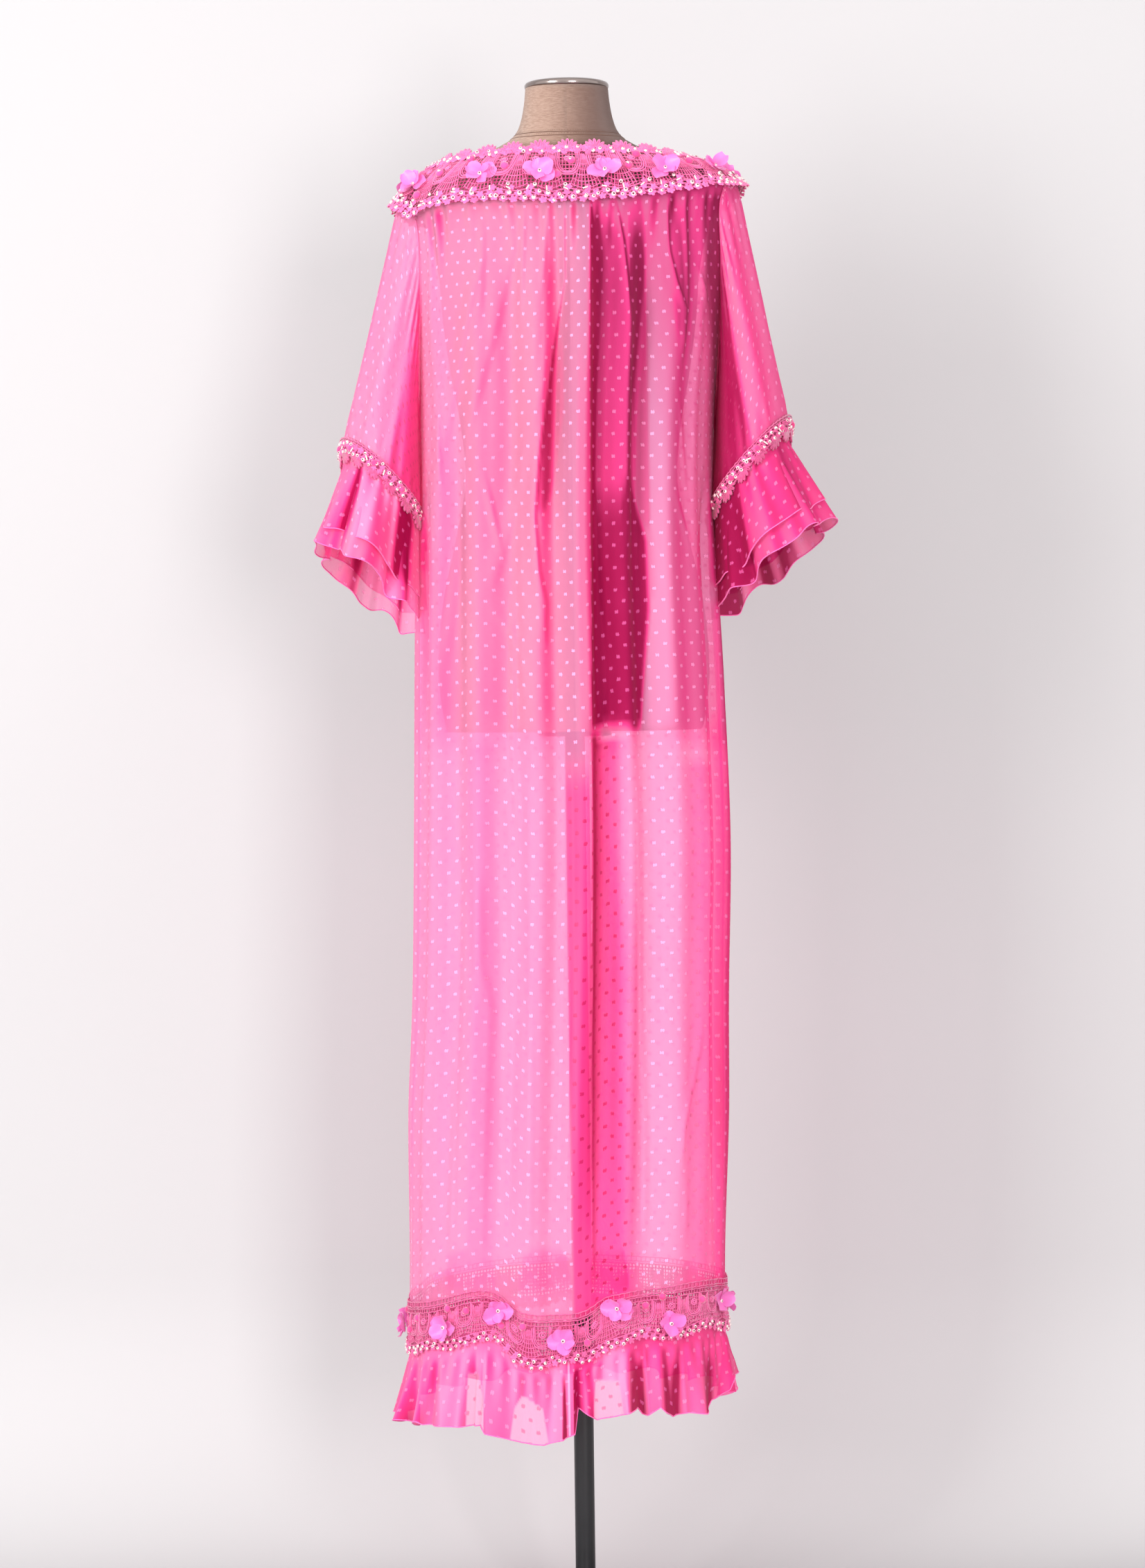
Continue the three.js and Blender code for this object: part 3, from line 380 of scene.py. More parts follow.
def yoke_point(share, across):
    angle = angle_of(share)
    c = np.cos(angle)
    nx, ny = oval(angle, *NECK, OVAL_POWER)
    fx, fy = oval(angle, *YOKE_FOOT, OVAL_POWER)
    neck_z = NECK_SIDE + np.where(c > 0, NECK_BACK_RISE, -NECK_FRONT_DROP) * c * c
    foot_z = look_up(YOKE_FOOT_HEIGHT, signed_degrees(angle), 1)
    bulge = YOKE_BULGE * np.sin(np.pi * np.clip(across, 0, 1))
    out = unit(points_of(fx - nx, fy - ny, 0))
    point = points_of(mix(nx, fx, across), mix(ny, fy, across), mix(neck_z, foot_z, across))
    point = point + out * (bulge * 0.55)[..., None]
    point[..., 2] += bulge * 0.8
    return point


def normal_of(surface, share, down, step_share, step_down):
    along = surface(share + step_share, down) - surface(share - step_share, down)
    fall = surface(share, down + step_down) - surface(share, down - step_down)
    return unit(np.cross(fall, along))


def yoke_normal(share, across):
    return normal_of(yoke_point, share, across, 0.004, 0.04)


def under_yoke(share, depth):
    across = np.full(np.shape(share), TUCK)
    return yoke_point(share, across) - yoke_normal(share, across) * depth


SLEEVE_UNDER_YOKE = LACE / 2 + SEAM + CHIFFON / 2
BODY_UNDER_YOKE = SLEEVE_UNDER_YOKE + CHIFFON + SEAM


def is_back(turn):
    return (turn < SIDE) | (turn > 1 - SIDE)


def folds_at(turn, z):
    back = is_back(turn)
    place = np.where(back, np.where(turn > 0.5, turn - 1, turn), 0.5 - turn) * GIRTH
    total = np.zeros(np.shape(place))
    for folds, here in ((BACK_FOLDS, back), (FRONT_FOLDS, ~back)):
        for at_top, at_foot, width, depth, top, foot in folds:
            down = np.clip((top - z) / (top - foot), 0, 1)
            reach = np.abs(place - mix(at_top, at_foot, down)) / width
            fade = smooth((top - z) / 140) * mix(HEM_SOFTNESS, 1, smooth((z - foot - 60) / 220))
            shape = np.where(reach < 1, 0.5 + 0.5 * np.cos(np.pi * reach), 0)
            total += np.where(here, depth * fade * shape, 0)
    return total


def creases_at(turn, x, z):
    back = is_back(turn)
    total = np.zeros(np.shape(z))
    for creases, here in ((BACK_CREASES, back), (FRONT_CREASES, ~back)):
        for line, depth, left, right in creases:
            heights = np.array([z_at for _, z_at in line])[::-1]
            places = np.array([x_at for x_at, _ in line])[::-1]
            off = x - np.interp(z, heights, places)
            reach = np.abs(off) / np.where(off < 0, left, right)
            ends = smooth((heights[-1] - z) / CREASE_FADE) * smooth((z - heights[0]) / CREASE_FADE)
            shape = np.where(reach < 1, (0.5 + 0.5 * np.cos(np.pi * reach)) ** 1.2, 0)
            total += np.where(here, depth * ends * shape, 0)
    return total


# Soft uneven waves of the hung cloth: wavelength, height, start, drift over the dress, and swell down it
DRAPE = [(23, 0.55, 0.13, 0.5, 0.004), (31, 0.8, 0.71, -0.7, 0.006), (43, 1.1, 0.37, 0.6, 0.0045),
         (61, 1.3, 0.05, -0.5, 0.0035), (88, 1.5, 0.52, 0.4, 0.003)]


def drape_at(turn, z):
    place = turn * GIRTH
    total = np.zeros(np.shape(place + z))
    for k, (length, height, start, drift, swell) in enumerate(DRAPE):
        bend = drift * np.sin(z * swell + 2.1 * k) + 0.25 * np.sin(place / 57 + k)
        grow = 0.55 + 0.45 * np.sin(place / 71 + z * swell * 1.3 + 1.7 * k)
        total += height * grow * np.cos(TAU * (place / length + start) + bend)
    return total * smooth((1600 - z) / 160) * mix(0.3, 1, smooth((z - 390) / 160))


PLAIN, SOLID, FINE = range(3)


def body_point(share, z, detail=FINE):
    turn = share - np.floor(share)
    angle = angle_of(turn)
    half = look_up(BODY, z, 1)
    back = look_up(BODY, z, 2)
    x, y = oval(angle, half, back, look_up(BODY, z, 3), OVAL_POWER)
    flat = points_of(x + look_up(BODY, z, 4), y, z)
    out = unit(points_of(x / half**2, y / back**2, 0))
    hung = under_yoke(turn, BODY_UNDER_YOKE)
    at = hung[..., 2]
    tx, ty = oval(angle, look_up(BODY, at, 1), look_up(BODY, at, 2), look_up(BODY, at, 3), OVAL_POWER)
    near = 1 - smooth((at - z) / 90)
    flat[..., 0] += (hung[..., 0] - tx) * near
    flat[..., 1] += (hung[..., 1] - ty) * near
    below = at - z
    gather = GATHER_DEPTH * np.cos(TAU * GATHERS * turn)
    run = GATHER_LENGTH
    if detail == FINE:
        gather = 1.5 * gather * (0.9 + 0.7 * np.sin(TAU * 9 * turn + 1) * np.cos(TAU * 17 * turn))
        gather = gather + 1.2 * np.sin(TAU * 67 * turn + 2.6 * np.sin(TAU * 5 * turn))
        run = GATHER_LENGTH * (1.1 + 0.7 * np.sin(TAU * 13 * turn + 2) * np.cos(TAU * 7 * turn))
    gather = gather * smooth(below / 22) * (1 - smooth(below / run))
    from_side = np.abs(np.where(turn < 0.5, turn - SIDE, turn - 1 + SIDE))
    inner = smooth((from_side - ARMHOLE_TOP_SHARE) / 0.03)
    room = mix(1, inner, smooth((z - UNDERARM + 190) / 140))
    push = folds_at(turn, z) + gather
    if detail == PLAIN:
        push = push * 0
    if detail == FINE:
        push = push + creases_at(turn, flat[..., 0], z) + drape_at(turn, z)
    point = flat + out * (push * room * smooth(below / 20))[..., None]
    return off_form(point) if detail == FINE else point


FORM_CLEAR = 2.6


def off_form(point):
    """The cloth kept clear of the form, so that no deep fold reaches into it."""
    x, y, z = point[..., 0], point[..., 1], point[..., 2]
    half = look_up(FORM, z, 1)
    across = np.clip(1 - np.clip(np.abs(x) / half, 0, 1) ** (2 / FORM_POWER), 0, 1) ** (FORM_POWER / 2)
    room = np.where(y < 0, look_up(FORM, z, 2), look_up(FORM, z, 3)) * across + FORM_CLEAR
    tight = (z > FORM[0, 0] - 12) & (np.abs(x) < half) & (np.abs(y) < room)
    point[..., 1] = np.where(tight, np.sign(y) * room, y)
    return point


def body_normal(share, z):
    return normal_of(lambda s, d: body_point(s, -d, SOLID), share, -z, 0.004, 6)


def armhole_share(z, top_z):
    up = np.clip((z - UNDERARM) / (top_z - UNDERARM), 0, 1)
    return ARMHOLE_TOP_SHARE * (1 - (1 - up) ** 2)


def hem_top(share):
    return look_up(HEM_TOP, signed_degrees(angle_of(share)), 1)


EDGE_SHARE = SEAM / 2 / GIRTH
SEAM_OVERLAP = 0.0055


def body_grid(middle, columns, levels):
    reach = np.linspace(-1, 1, columns)[None, :]
    top_z = under_yoke(middle + reach * (SIDE - ARMHOLE_TOP_SHARE), BODY_UNDER_YOKE)[..., 2]
    foot_z = hem_top(middle + reach * (SIDE - EDGE_SHARE)) - HEM_TUCK
    rows = np.array(levels)[:, None]
    z = np.where(rows <= 1, mix(top_z, UNDERARM, rows), mix(UNDERARM, foot_z, rows - 1))
    share = middle + reach * (SIDE - EDGE_SHARE - armhole_share(z, top_z))
    return body_point(share, z), share, z


def armhole_ring(sleeve, share):
    turn = np.where(share > 0.5, share - 1, share)
    away = np.abs(turn)
    toward = np.where(turn >= 0, -1, 1)
    side = sleeve["side"]
    cap = side * (SIDE + toward * np.minimum(away / CAP_SHARE, 1) * ARMHOLE_TOP_SHARE)
    over = under_yoke(cap, SLEEVE_UNDER_YOKE)
    edge = side * (SIDE + toward * ARMHOLE_TOP_SHARE)
    top_z = under_yoke(edge, BODY_UNDER_YOKE)[..., 2]
    level = np.clip((away - CAP_SHARE) / (0.5 - CAP_SHARE), 0, 1)
    z = mix(top_z, UNDERARM, level)
    from_side = armhole_share(z, top_z) + EDGE_SHARE + SEAM_OVERLAP * smooth(level / 0.1)
    place = side * (SIDE + toward * from_side)
    low = smooth(level / 0.08)[..., None]
    normal = unit(mix(yoke_normal(edge, np.full(np.shape(edge), TUCK)), body_normal(place, z), low))
    under = body_point(place, z, SOLID) + normal * (CHIFFON + SEAM)
    return np.where((away <= CAP_SHARE)[..., None], over, under)


def cuff_ring(sleeve, share, down, inset):
    angle = TAU * share
    spread = np.clip((down - TRIM_FOOT) / (RUFFLE_LOWER - TRIM_FOOT), 0, 1)
    outer_x = sleeve["outer_x"] + sleeve["flare"] * spread - inset
    inner_x = sleeve["inner_x"] + inset
    half_y = SLEEVE_HALF_DEPTH + RUFFLE_SPREAD * spread - inset
    slant = (sleeve["outer_z"] - sleeve["inner_z"]) / 2
    z = sleeve["inner_z"] + slant + slant * np.cos(angle) + sleeve["near_lift"] * np.sin(angle) - down
    x = (outer_x + inner_x) / 2 + (outer_x - inner_x) / 2 * np.cos(angle)
    return points_of(sleeve["side"] * x, SLEEVE_Y - half_y * np.sin(angle), z)


def sleeve_point(sleeve, share, down):
    angle = TAU * share
    outer = 0.5 + 0.5 * np.cos(angle)
    out = points_of(sleeve["side"] * np.cos(angle), -np.sin(angle), 0)
    fold = -SLEEVE_FOLD_DEPTH * np.cos(TAU * SLEEVE_FOLD_COUNT * share) * outer * np.sin(np.pi * down)
    fold = fold + 2.6 * np.cos(TAU * 5 * share + 1.1) * np.sin(np.pi * down) * (0.4 + 0.6 * outer)
    wander = 1.2 * np.sin(TAU * 3 * share + 0.7) + 0.8 * np.sin(TAU * 7 * share)
    fold = fold + 1.3 * np.cos(TAU * 11 * share + wander) * smooth((down - 0.45) / 0.5)
    tight = smooth((down - 0.80) / 0.14) * (1 - 0.6 * smooth((down - 0.95) / 0.05))
    tight = tight * (0.6 + 0.4 * np.sin(TAU * 6 * share))
    fold = fold + 0.8 * np.cos(TAU * 29 * share + 2.2 * wander) * tight
    top = smooth(down / 0.12) * (1 - smooth((down - 0.12) / 0.3))
    fold = fold + 1.0 * np.cos(TAU * 26 * share) * top
    fold = fold * (1 - smooth((down - 0.9) / 0.1) * 0.6)
    base = mix(armhole_ring(sleeve, share), cuff_ring(sleeve, share, -SEAM, 0), down[..., None])
    return base + out * fold[..., None]


def ruffle_push(sleeve, share):
    total = np.zeros(np.shape(share))
    for middle, half, depth in sleeve["folds"] + RUFFLE_FAR:
        off = np.abs((share - middle + 0.5) % 1 - 0.5) / half
        total += np.where(off < 1, depth * (0.5 + 0.5 * np.cos(np.pi * off)), 0)
    return total


def ruffle_point(sleeve, share, down, inset, fine=0.0):
    angle = TAU * share
    grown = np.clip((down - TRIM_FOOT) / (RUFFLE_LOWER - TRIM_FOOT), 0, 1) ** 0.8
    uneven = 0.5 * np.sin(angle * 2 + sleeve["side"]) + 0.35 * np.sin(angle * 5 + 1.3)
    room = 0.35 + 0.65 * smooth((1.15 + np.cos(angle)) / 1.2)
    phase = RUFFLE_WAVES * angle + uneven
    push = ruffle_push(sleeve, share + 0.006 * fine)
    wave = grown * (room * push + 0.3 * RUFFLE_WAVE_DEPTH * np.sin(phase))
    wave = wave + 2.0 * grown * room * np.sin(16 * angle + 1.9 * np.sin(2 * angle + fine) + 1.0)
    small = 1.1 * np.sin(23 * angle + 2.4 * np.sin(3 * angle) + fine) * room * (0.6 + 0.4 * np.sin(5 * angle))
    start = np.clip(down / 14, 0, 1) * (1 - 0.8 * grown)
    out = points_of(sleeve["side"] * np.cos(angle), -np.sin(angle), 0)
    point = cuff_ring(sleeve, share, down, inset) + out * (wave + small * start)[..., None]
    curl = 0.35 * push + 3.0 * np.sin(phase - 1.2) + 2.0 * np.sin(5 * angle + 1 + fine)
    point[..., 2] += grown**1.5 * room * curl
    return point


BAND_OUT = (CHIFFON + LACE) / 2 + SEAM


def hem_band_point(share, below):
    z = hem_top(share) - below
    return body_point(share, z, SOLID) + body_normal(share, z) * BAND_OUT


def hem_folds_at(x):
    total = np.zeros(np.shape(x))
    for middle, left, right, depth in HEM_FOLDS:
        reach = np.abs(x - middle) / np.where(x < middle, left, right)
        total += np.where(reach < 1, depth * (0.5 + 0.5 * np.cos(np.pi * reach)), 0)
    return total


def hem_ruffle_point(share, below):
    z = hem_top(share) - below
    free = np.clip((below - HEM_FREE) / (HEM_RUFFLE_END - HEM_FREE), 0, 1)
    angle = TAU * share
    uneven = 1.1 * np.sin(angle * 3 + 0.6) + 0.7 * np.sin(angle * 7 + 2.1)
    swing = np.sin(HEM_WAVES * angle + uneven)
    base = body_point(share, z, SOLID)
    behind = (base[..., 1] < 0) * smooth((190 - np.abs(base[..., 0])) / 20)
    wave = HEM_WAVE_DEPTH * swing * (1 + 0.25 * np.sin(5 * angle + 0.4))
    wave = mix(wave, hem_folds_at(base[..., 0]) + 0.15 * wave, behind)
    small = 1.4 * np.sin(61 * angle + 2 * np.sin(5 * angle)) * smooth(free * 6) * (1 - free) ** 2
    turn = angle_of(share)
    out = points_of(np.sin(turn), -np.cos(turn), 0)
    flare = HEM_FLARE - HEM_LEAN * np.sin(turn)
    point = base + out * ((wave + flare) * free + small)[..., None]
    curl = 3.0 * np.sin(HEM_WAVES * angle + uneven - 0.9) + 2.0 * np.sin(9 * angle + 2)
    longer = np.interp(point[..., 0], HEM_FOOT[:, 0], HEM_FOOT[:, 1]) - hem_top(share) + HEM_RUFFLE_END
    point[..., 2] += mix(free**2 * curl, free * longer, behind)
    return point


# Meshes

def make_piece(name, points, faces, materials, uv=None, values=None, kinds=None):
    mesh = bpy.data.meshes.new(name)
    mesh.from_pydata((np.asarray(points, float) * MM).tolist(), [], faces)
    for material in materials:
        mesh.materials.append(material)
    if kinds is not None:
        mesh.polygons.foreach_set("material_index", np.asarray(kinds, dtype=np.int32))
    corner = np.zeros(len(mesh.loops), dtype=np.int32)
    mesh.loops.foreach_get("vertex_index", corner)
    if uv is not None:
        layer = mesh.uv_layers.new(name="cut")
        layer.data.foreach_set("uv", np.asarray(uv, float)[corner].ravel())
    for key, value in (values or {}).items():
        field = mesh.attributes.new(key, "FLOAT", "POINT")
        field.data.foreach_set("value", np.asarray(value, float).ravel())
    mesh.polygons.foreach_set("use_smooth", np.full(len(mesh.polygons), True))
    mesh.update()
    obj = bpy.data.objects.new(name, mesh)
    bpy.context.scene.collection.objects.link(obj)
    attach(obj, "root")
    return obj


def grid_faces(rows, columns, closed=False):
    last = columns if closed else columns - 1
    i, j = np.meshgrid(np.arange(rows - 1), np.arange(last), indexing="ij")
    k = (j + 1) % columns
    quads = np.stack([i * columns + j, (i + 1) * columns + j, (i + 1) * columns + k, i * columns + k], -1)
    return quads.reshape(-1, 4).tolist()


def cut_of(grid):
    along = np.linalg.norm(np.diff(grid, axis=1), axis=-1).mean(axis=0)
    down = np.linalg.norm(np.diff(grid, axis=0), axis=-1).mean(axis=1)
    u = np.concatenate([[0], np.cumsum(along)])
    v = np.concatenate([[0], np.cumsum(down)])
    return np.stack(np.meshgrid(u, v), -1)


def sheet_piece(name, grid, material, values=None):
    rows, columns = grid.shape[:2]
    uv = cut_of(grid).reshape(-1, 2)
    return make_piece(name, grid.reshape(-1, 3), grid_faces(rows, columns), [material], uv, values)


CORD_SIDES = 4


class Trims:
    """Cords, beads and petals gathered into one mesh."""

    def __init__(self, dim=1.0):
        self.dim = dim
        self.points = []
        self.faces = []
        self.kinds = []
        self.tints = []
        self.count = 0

    def add(self, points, faces, kind, tint=0.5):
        points = points.reshape(-1, 3)
        self.points.append(points)
        self.faces += (np.asarray(faces) + self.count).tolist()
        self.kinds += [kind] * len(faces)
        # dim scales the tint of every trim but the pearls; on the sleeve trims it is painted shade.
        light = 1.0 if kind == PEARL else self.dim
        self.tints.append(np.broadcast_to(np.asarray(tint, float) * light, (len(points),)))
        self.count += len(points)

    def cords(self, lines, normals, radius, kind, closed=False, flat=1.0, tint=0.5):
        """Tubes along many lines of the same number of points: shape (lines, points, 3)."""
        many, steps = lines.shape[:2]
        if closed:
            ahead = np.roll(lines, -1, axis=1)
            behind = np.roll(lines, 1, axis=1)
        else:
            ahead = np.concatenate([lines[:, 1:], lines[:, -1:]], axis=1)
            behind = np.concatenate([lines[:, :1], lines[:, :-1]], axis=1)
        along = unit(ahead - behind)
        across = unit(np.cross(along, normals))
        up = np.cross(across, along)
        sides = CORD_SIDES
        turn = TAU * (np.arange(sides) + 0.5) / sides
        radius = np.broadcast_to(np.asarray(radius, float), (many, steps))[..., None, None]
        ring = across[:, :, None] * np.cos(turn)[None, None, :, None]
        ring = ring + up[:, :, None] * np.sin(turn)[None, None, :, None] * flat
        points = lines[:, :, None] + ring * radius
        last = steps if closed else steps - 1
        i, j = np.meshgrid(np.arange(last), np.arange(sides), indexing="ij")
        ii = (i + 1) % steps
        jj = (j + 1) % sides
        one = np.stack([i * sides + j, i * sides + jj, ii * sides + jj, ii * sides + j], -1).reshape(-1, 4)
        faces = (one[None] + (np.arange(many) * steps * sides)[:, None, None]).reshape(-1, 4)
        if np.ndim(tint) == 1:
            tint = np.repeat(tint, steps * sides)
        self.add(points, faces, kind, tint)

    def copies(self, shape, faces, centres, normals, sizes, kind, spins=None, tint=0.5):
        """Copies of one small shape, stood on the surface at the centres."""
        many = len(centres)
        aside = np.cross(normals, np.array([0.0, 0.0, 1.0]))
        aside = unit(np.where(np.linalg.norm(aside, axis=1, keepdims=True) < 1e-3, [1.0, 0, 0], aside))
        upward = np.cross(normals, aside)
        if spins is None:
            spins = np.zeros(many)
        c = np.cos(spins)[:, None]
        s = np.sin(spins)[:, None]
        first = aside * c + upward * s
        second = upward * c - aside * s
        size = np.broadcast_to(np.asarray(sizes, float), (many,))[:, None, None]
        points = centres[:, None] + size * (
            shape[None, :, 0:1] * first[:, None]
            + shape[None, :, 1:2] * second[:, None]
            + shape[None, :, 2:3] * normals[:, None]
        )
        base = np.asarray(faces)
        all_faces = (base[None] + (np.arange(many) * len(shape))[:, None, None]).reshape(-1, base.shape[1])
        if np.ndim(tint) == 1:
            tint = np.tile(tint, many) if len(tint) == len(shape) else np.repeat(tint, len(shape))
        self.add(points, all_faces, kind, tint)

    def piece(self, name, materials):
        return make_piece(name, np.concatenate(self.points), self.faces, materials,
                          values={"tint": np.concatenate(self.tints)}, kinds=self.kinds)


# Materials

class Nodes:
    """Short calls that build a node tree."""

    def __init__(self, name):
        self.material = bpy.data.materials.new(name)
        self.material.use_nodes = True
        self.tree = self.material.node_tree
        self.tree.nodes.clear()

    def node(self, kind, inputs, **settings):
        """A node with each named input set to a value or linked to a socket."""
        made = self.tree.nodes.new(kind)
        for key, value in settings.items():
            setattr(made, key, value)
        for key, value in inputs.items():
            if isinstance(value, bpy.types.NodeSocket):
                self.tree.links.new(value, made.inputs[key])
            else:
                made.inputs[key].default_value = value
        return made

    def maths(self, operation, a, b=None, clamp=False):
        inputs = {0: a} if b is None else {0: a, 1: b}
        return self.node("ShaderNodeMath", inputs, operation=operation, use_clamp=clamp).outputs[0]

    def plus(self, a, b, clamp=False):
        return self.maths("ADD", a, b, clamp)

    def minus(self, a, b):
        return self.maths("SUBTRACT", a, b)

    def times(self, a, b):
        return self.maths("MULTIPLY", a, b)

    def over(self, a, b):
        return self.maths("DIVIDE", a, b)

    def swing(self, value, amount):
        """A value from 0 to 1, turned into one that swings to both sides of nought."""
        return self.times(self.minus(value, 0.5), amount)

    def blend(self, factor, a, b):
        return self.node("ShaderNodeMix", {0: factor, 6: a, 7: b}, data_type="RGBA").outputs[2]

    def noise(self, vector, scale, detail=2.0, roughness=0.5, output="Fac"):
        inputs = {"Vector": vector, "Scale": scale, "Detail": detail, "Roughness": roughness}
        return self.node("ShaderNodeTexNoise", inputs).outputs[output]

    def ramp(self, value, low, high, way="SMOOTHSTEP"):
        inputs = {0: value, 1: low, 2: high}
        return self.node("ShaderNodeMapRange", inputs, interpolation_type=way).outputs[0]

    def bump(self, height, distance, strength):
        inputs = {"Strength": strength, "Distance": distance, "Height": height}
        return self.node("ShaderNodeBump", inputs).outputs[0]

    def value(self, name):
        return self.node("ShaderNodeAttribute", {}, attribute_name=name).outputs["Fac"]

    def place(self, kind="Object"):
        return self.node("ShaderNodeTexCoord", {}).outputs[kind]

    def split(self, vector):
        return self.node("ShaderNodeSeparateXYZ", {0: vector}).outputs

    def split_colour(self, colour):
        return self.node("ShaderNodeSeparateColor", {0: colour}).outputs

    def principled(self, colour, roughness, normal, more):
        inputs = {"Base Color": colour, "Roughness": roughness, **more}
        if normal is not None:
            inputs["Normal"] = normal
        return self.node("ShaderNodeBsdfPrincipled", inputs).outputs[0]

    def shader(self, kind, inputs):
        return self.node("ShaderNodeBsdf" + kind, inputs).outputs[0]

    def mixed(self, factor, a, b):
        return self.node("ShaderNodeMixShader", {0: factor, 1: a, 2: b}).outputs[0]

    def finish(self, shader):
        self.node("ShaderNodeOutputMaterial", {"Surface": shader})
        return self.material


def srgb(red, green, blue):
    def linear(c):
        c = c / 255
        return c / 12.92 if c <= 0.04045 else ((c + 0.055) / 1.055) ** 2.4
    return (linear(red), linear(green), linear(blue), 1.0)


# Tufts woven into the chiffon, in millimetres of the flat cut: how far apart columns and rows are, then
# the half width and half height of one, and how far its place, lean and ragged edge stray
TUFT_PITCH = 19.0
TUFT_ROW = 12.6
TUFT_HALF = 1.05
TUFT_SIDE = 1.3
TUFT_TALL = 2.2
TUFT_STRAY_ACROSS = 1.0
TUFT_STRAY_DOWN = 0.9
TUFT_LEAN = 0.35
TUFT_RAGGED = 2.2
TUFT_EDGE = (0.5, 1.3)

# Colours of the chiffon, of its tufts and of the painted shade on it
PINK_LIGHT = srgb(255, 158, 205)
PINK_MIDDLE = srgb(255, 66, 146)
PINK_DEEP = srgb(158, 0, 68)
PINK_THROUGH = (1.0, 0.74, 0.87, 1)
TUFT_LIGHT = srgb(255, 176, 218)
TUFT_DEEP = srgb(222, 92, 158)
TUFT_BACKLIT = srgb(168, 0, 66)
SHADOW = srgb(66, 58, 88)
COVER = 0.44
MOST_COVER = 0.97
TUFT_COVER = 0.92


def tufts(n, place):
    """How much of a tuft there is at each place of the cut, from 0 to 1."""
    u, v = n.split(n.place("UV"))[:2]
    down = n.over(v, TUFT_ROW)
    row = n.maths("FLOOR", down)
    column = n.plus(n.over(u, TUFT_PITCH), n.times(n.maths("PINGPONG", row, 1.0), 0.5))
    cell = n.node("ShaderNodeCombineXYZ", {0: n.maths("FLOOR", column), 1: row}).outputs[0]
    chance = n.node("ShaderNodeTexWhiteNoise", {"Vector": cell}, noise_dimensions="2D")
    luck = n.split_colour(chance.outputs["Color"])
    ragged = n.split_colour(n.noise(place, 620.0, output="Color"))
    x = n.plus(n.swing(n.maths("FRACT", column), TUFT_PITCH), n.swing(luck[0], TUFT_STRAY_ACROSS))
    y = n.plus(n.swing(n.maths("FRACT", down), TUFT_ROW), n.swing(luck[1], TUFT_STRAY_DOWN))
    x = n.plus(x, n.times(y, n.swing(luck[2], TUFT_LEAN)))
    x = n.plus(x, n.swing(ragged[0], TUFT_RAGGED))
    y = n.plus(y, n.swing(ragged[1], TUFT_RAGGED))
    side = n.over(n.minus(n.maths("ABSOLUTE", x), TUFT_HALF), TUFT_SIDE)
    tall = n.over(y, TUFT_TALL)
    across = n.maths("POWER", n.maths("ABSOLUTE", side), 2.0)
    pair = n.plus(across, n.maths("POWER", n.maths("ABSOLUTE", tall), 2.4))
    return n.minus(1.0, n.ramp(pair, *TUFT_EDGE))


def chiffon_material():
    """Sheer cloth. Its points carry how much gathered cloth and painted shade darken it ("layers_and_shade"),
    more cover ("dense"), painted shade that shows the tufts dark against what is behind ("backlit"), and how
    far the cloth lies in painted shadow ("shadow")."""
    n = Nodes("chiffon")
    place = n.place()
    tuft = tufts(n, place)
    grain = n.noise(place, 900.0, 2.0, 0.7)
    shade = n.plus(n.value("layers_and_shade"), n.swing(n.noise(place, 9.0, 3.0), 0.12), clamp=True)
    cloth = n.blend(n.ramp(shade, 0.0, 0.6, "LINEAR"), PINK_LIGHT, PINK_MIDDLE)
    cloth = n.blend(n.ramp(shade, 0.6, 1.0, "LINEAR"), cloth, PINK_DEEP)
    cloth = n.blend(n.value("shadow"), cloth, SHADOW)
    thread = n.blend(n.value("backlit"), n.blend(shade, TUFT_LIGHT, TUFT_DEEP), TUFT_BACKLIT)
    colour = n.blend(n.times(tuft, 0.66), cloth, thread)
    normal = n.bump(n.plus(n.times(grain, 0.25), tuft), 0.0006, 0.7)
    sheen = {"Sheen Weight": 0.04, "Sheen Roughness": 0.5, "Specular IOR Level": 0.08}
    face = n.principled(colour, 0.7, normal, sheen)
    back = n.shader("Translucent", {"Color": n.blend(0.5, colour, PINK_DEEP), "Normal": normal})
    full = n.maths("MAXIMUM", shade, n.value("dense"))
    solid = n.plus(COVER, n.times(full, MOST_COVER - COVER))
    solid = n.maths("MAXIMUM", solid, n.times(tuft, TUFT_COVER))
    clear = n.shader("Transparent", {"Color": PINK_THROUGH})
    return n.finish(n.mixed(solid, clear, n.mixed(0.30, face, back)))


def thread_material(name, dark, light, roughness=0.75, sheen=0.35, grain=900.0):
    n = Nodes(name)
    place = n.place()
    twist = n.noise(place, grain, 2.0, 0.6)
    amount = n.plus(n.value("tint"), n.swing(n.noise(place, 240.0, 3.0), 0.8), clamp=True)
    colour = n.blend(n.times(twist, 0.35), n.blend(amount, dark, light), light)
    return n.finish(n.principled(colour, roughness, n.bump(twist, 0.0004, 0.8), {"Sheen Weight": sheen}))


def net_material(name, dark, light, mesh_size):
    n = Nodes(name)
    place = n.place()
    threads = []
    for at in n.split(n.place("UV"))[:2]:
        threads.append(n.maths("ABSOLUTE", n.minus(n.maths("FRACT", n.over(at, mesh_size)), 0.5)))
    near = n.maths("MAXIMUM", *threads)
    opaque = n.ramp(n.plus(near, n.swing(n.noise(place, 500.0), 0.14)), 0.31, 0.345)
    colour = n.blend(n.noise(place, 1100.0), dark, light)
    face = n.principled(colour, 0.8, n.bump(near, 0.001, 0.8), {"Sheen Weight": 0.3})
    return n.finish(n.mixed(opaque, n.shader("Transparent", {}), face))


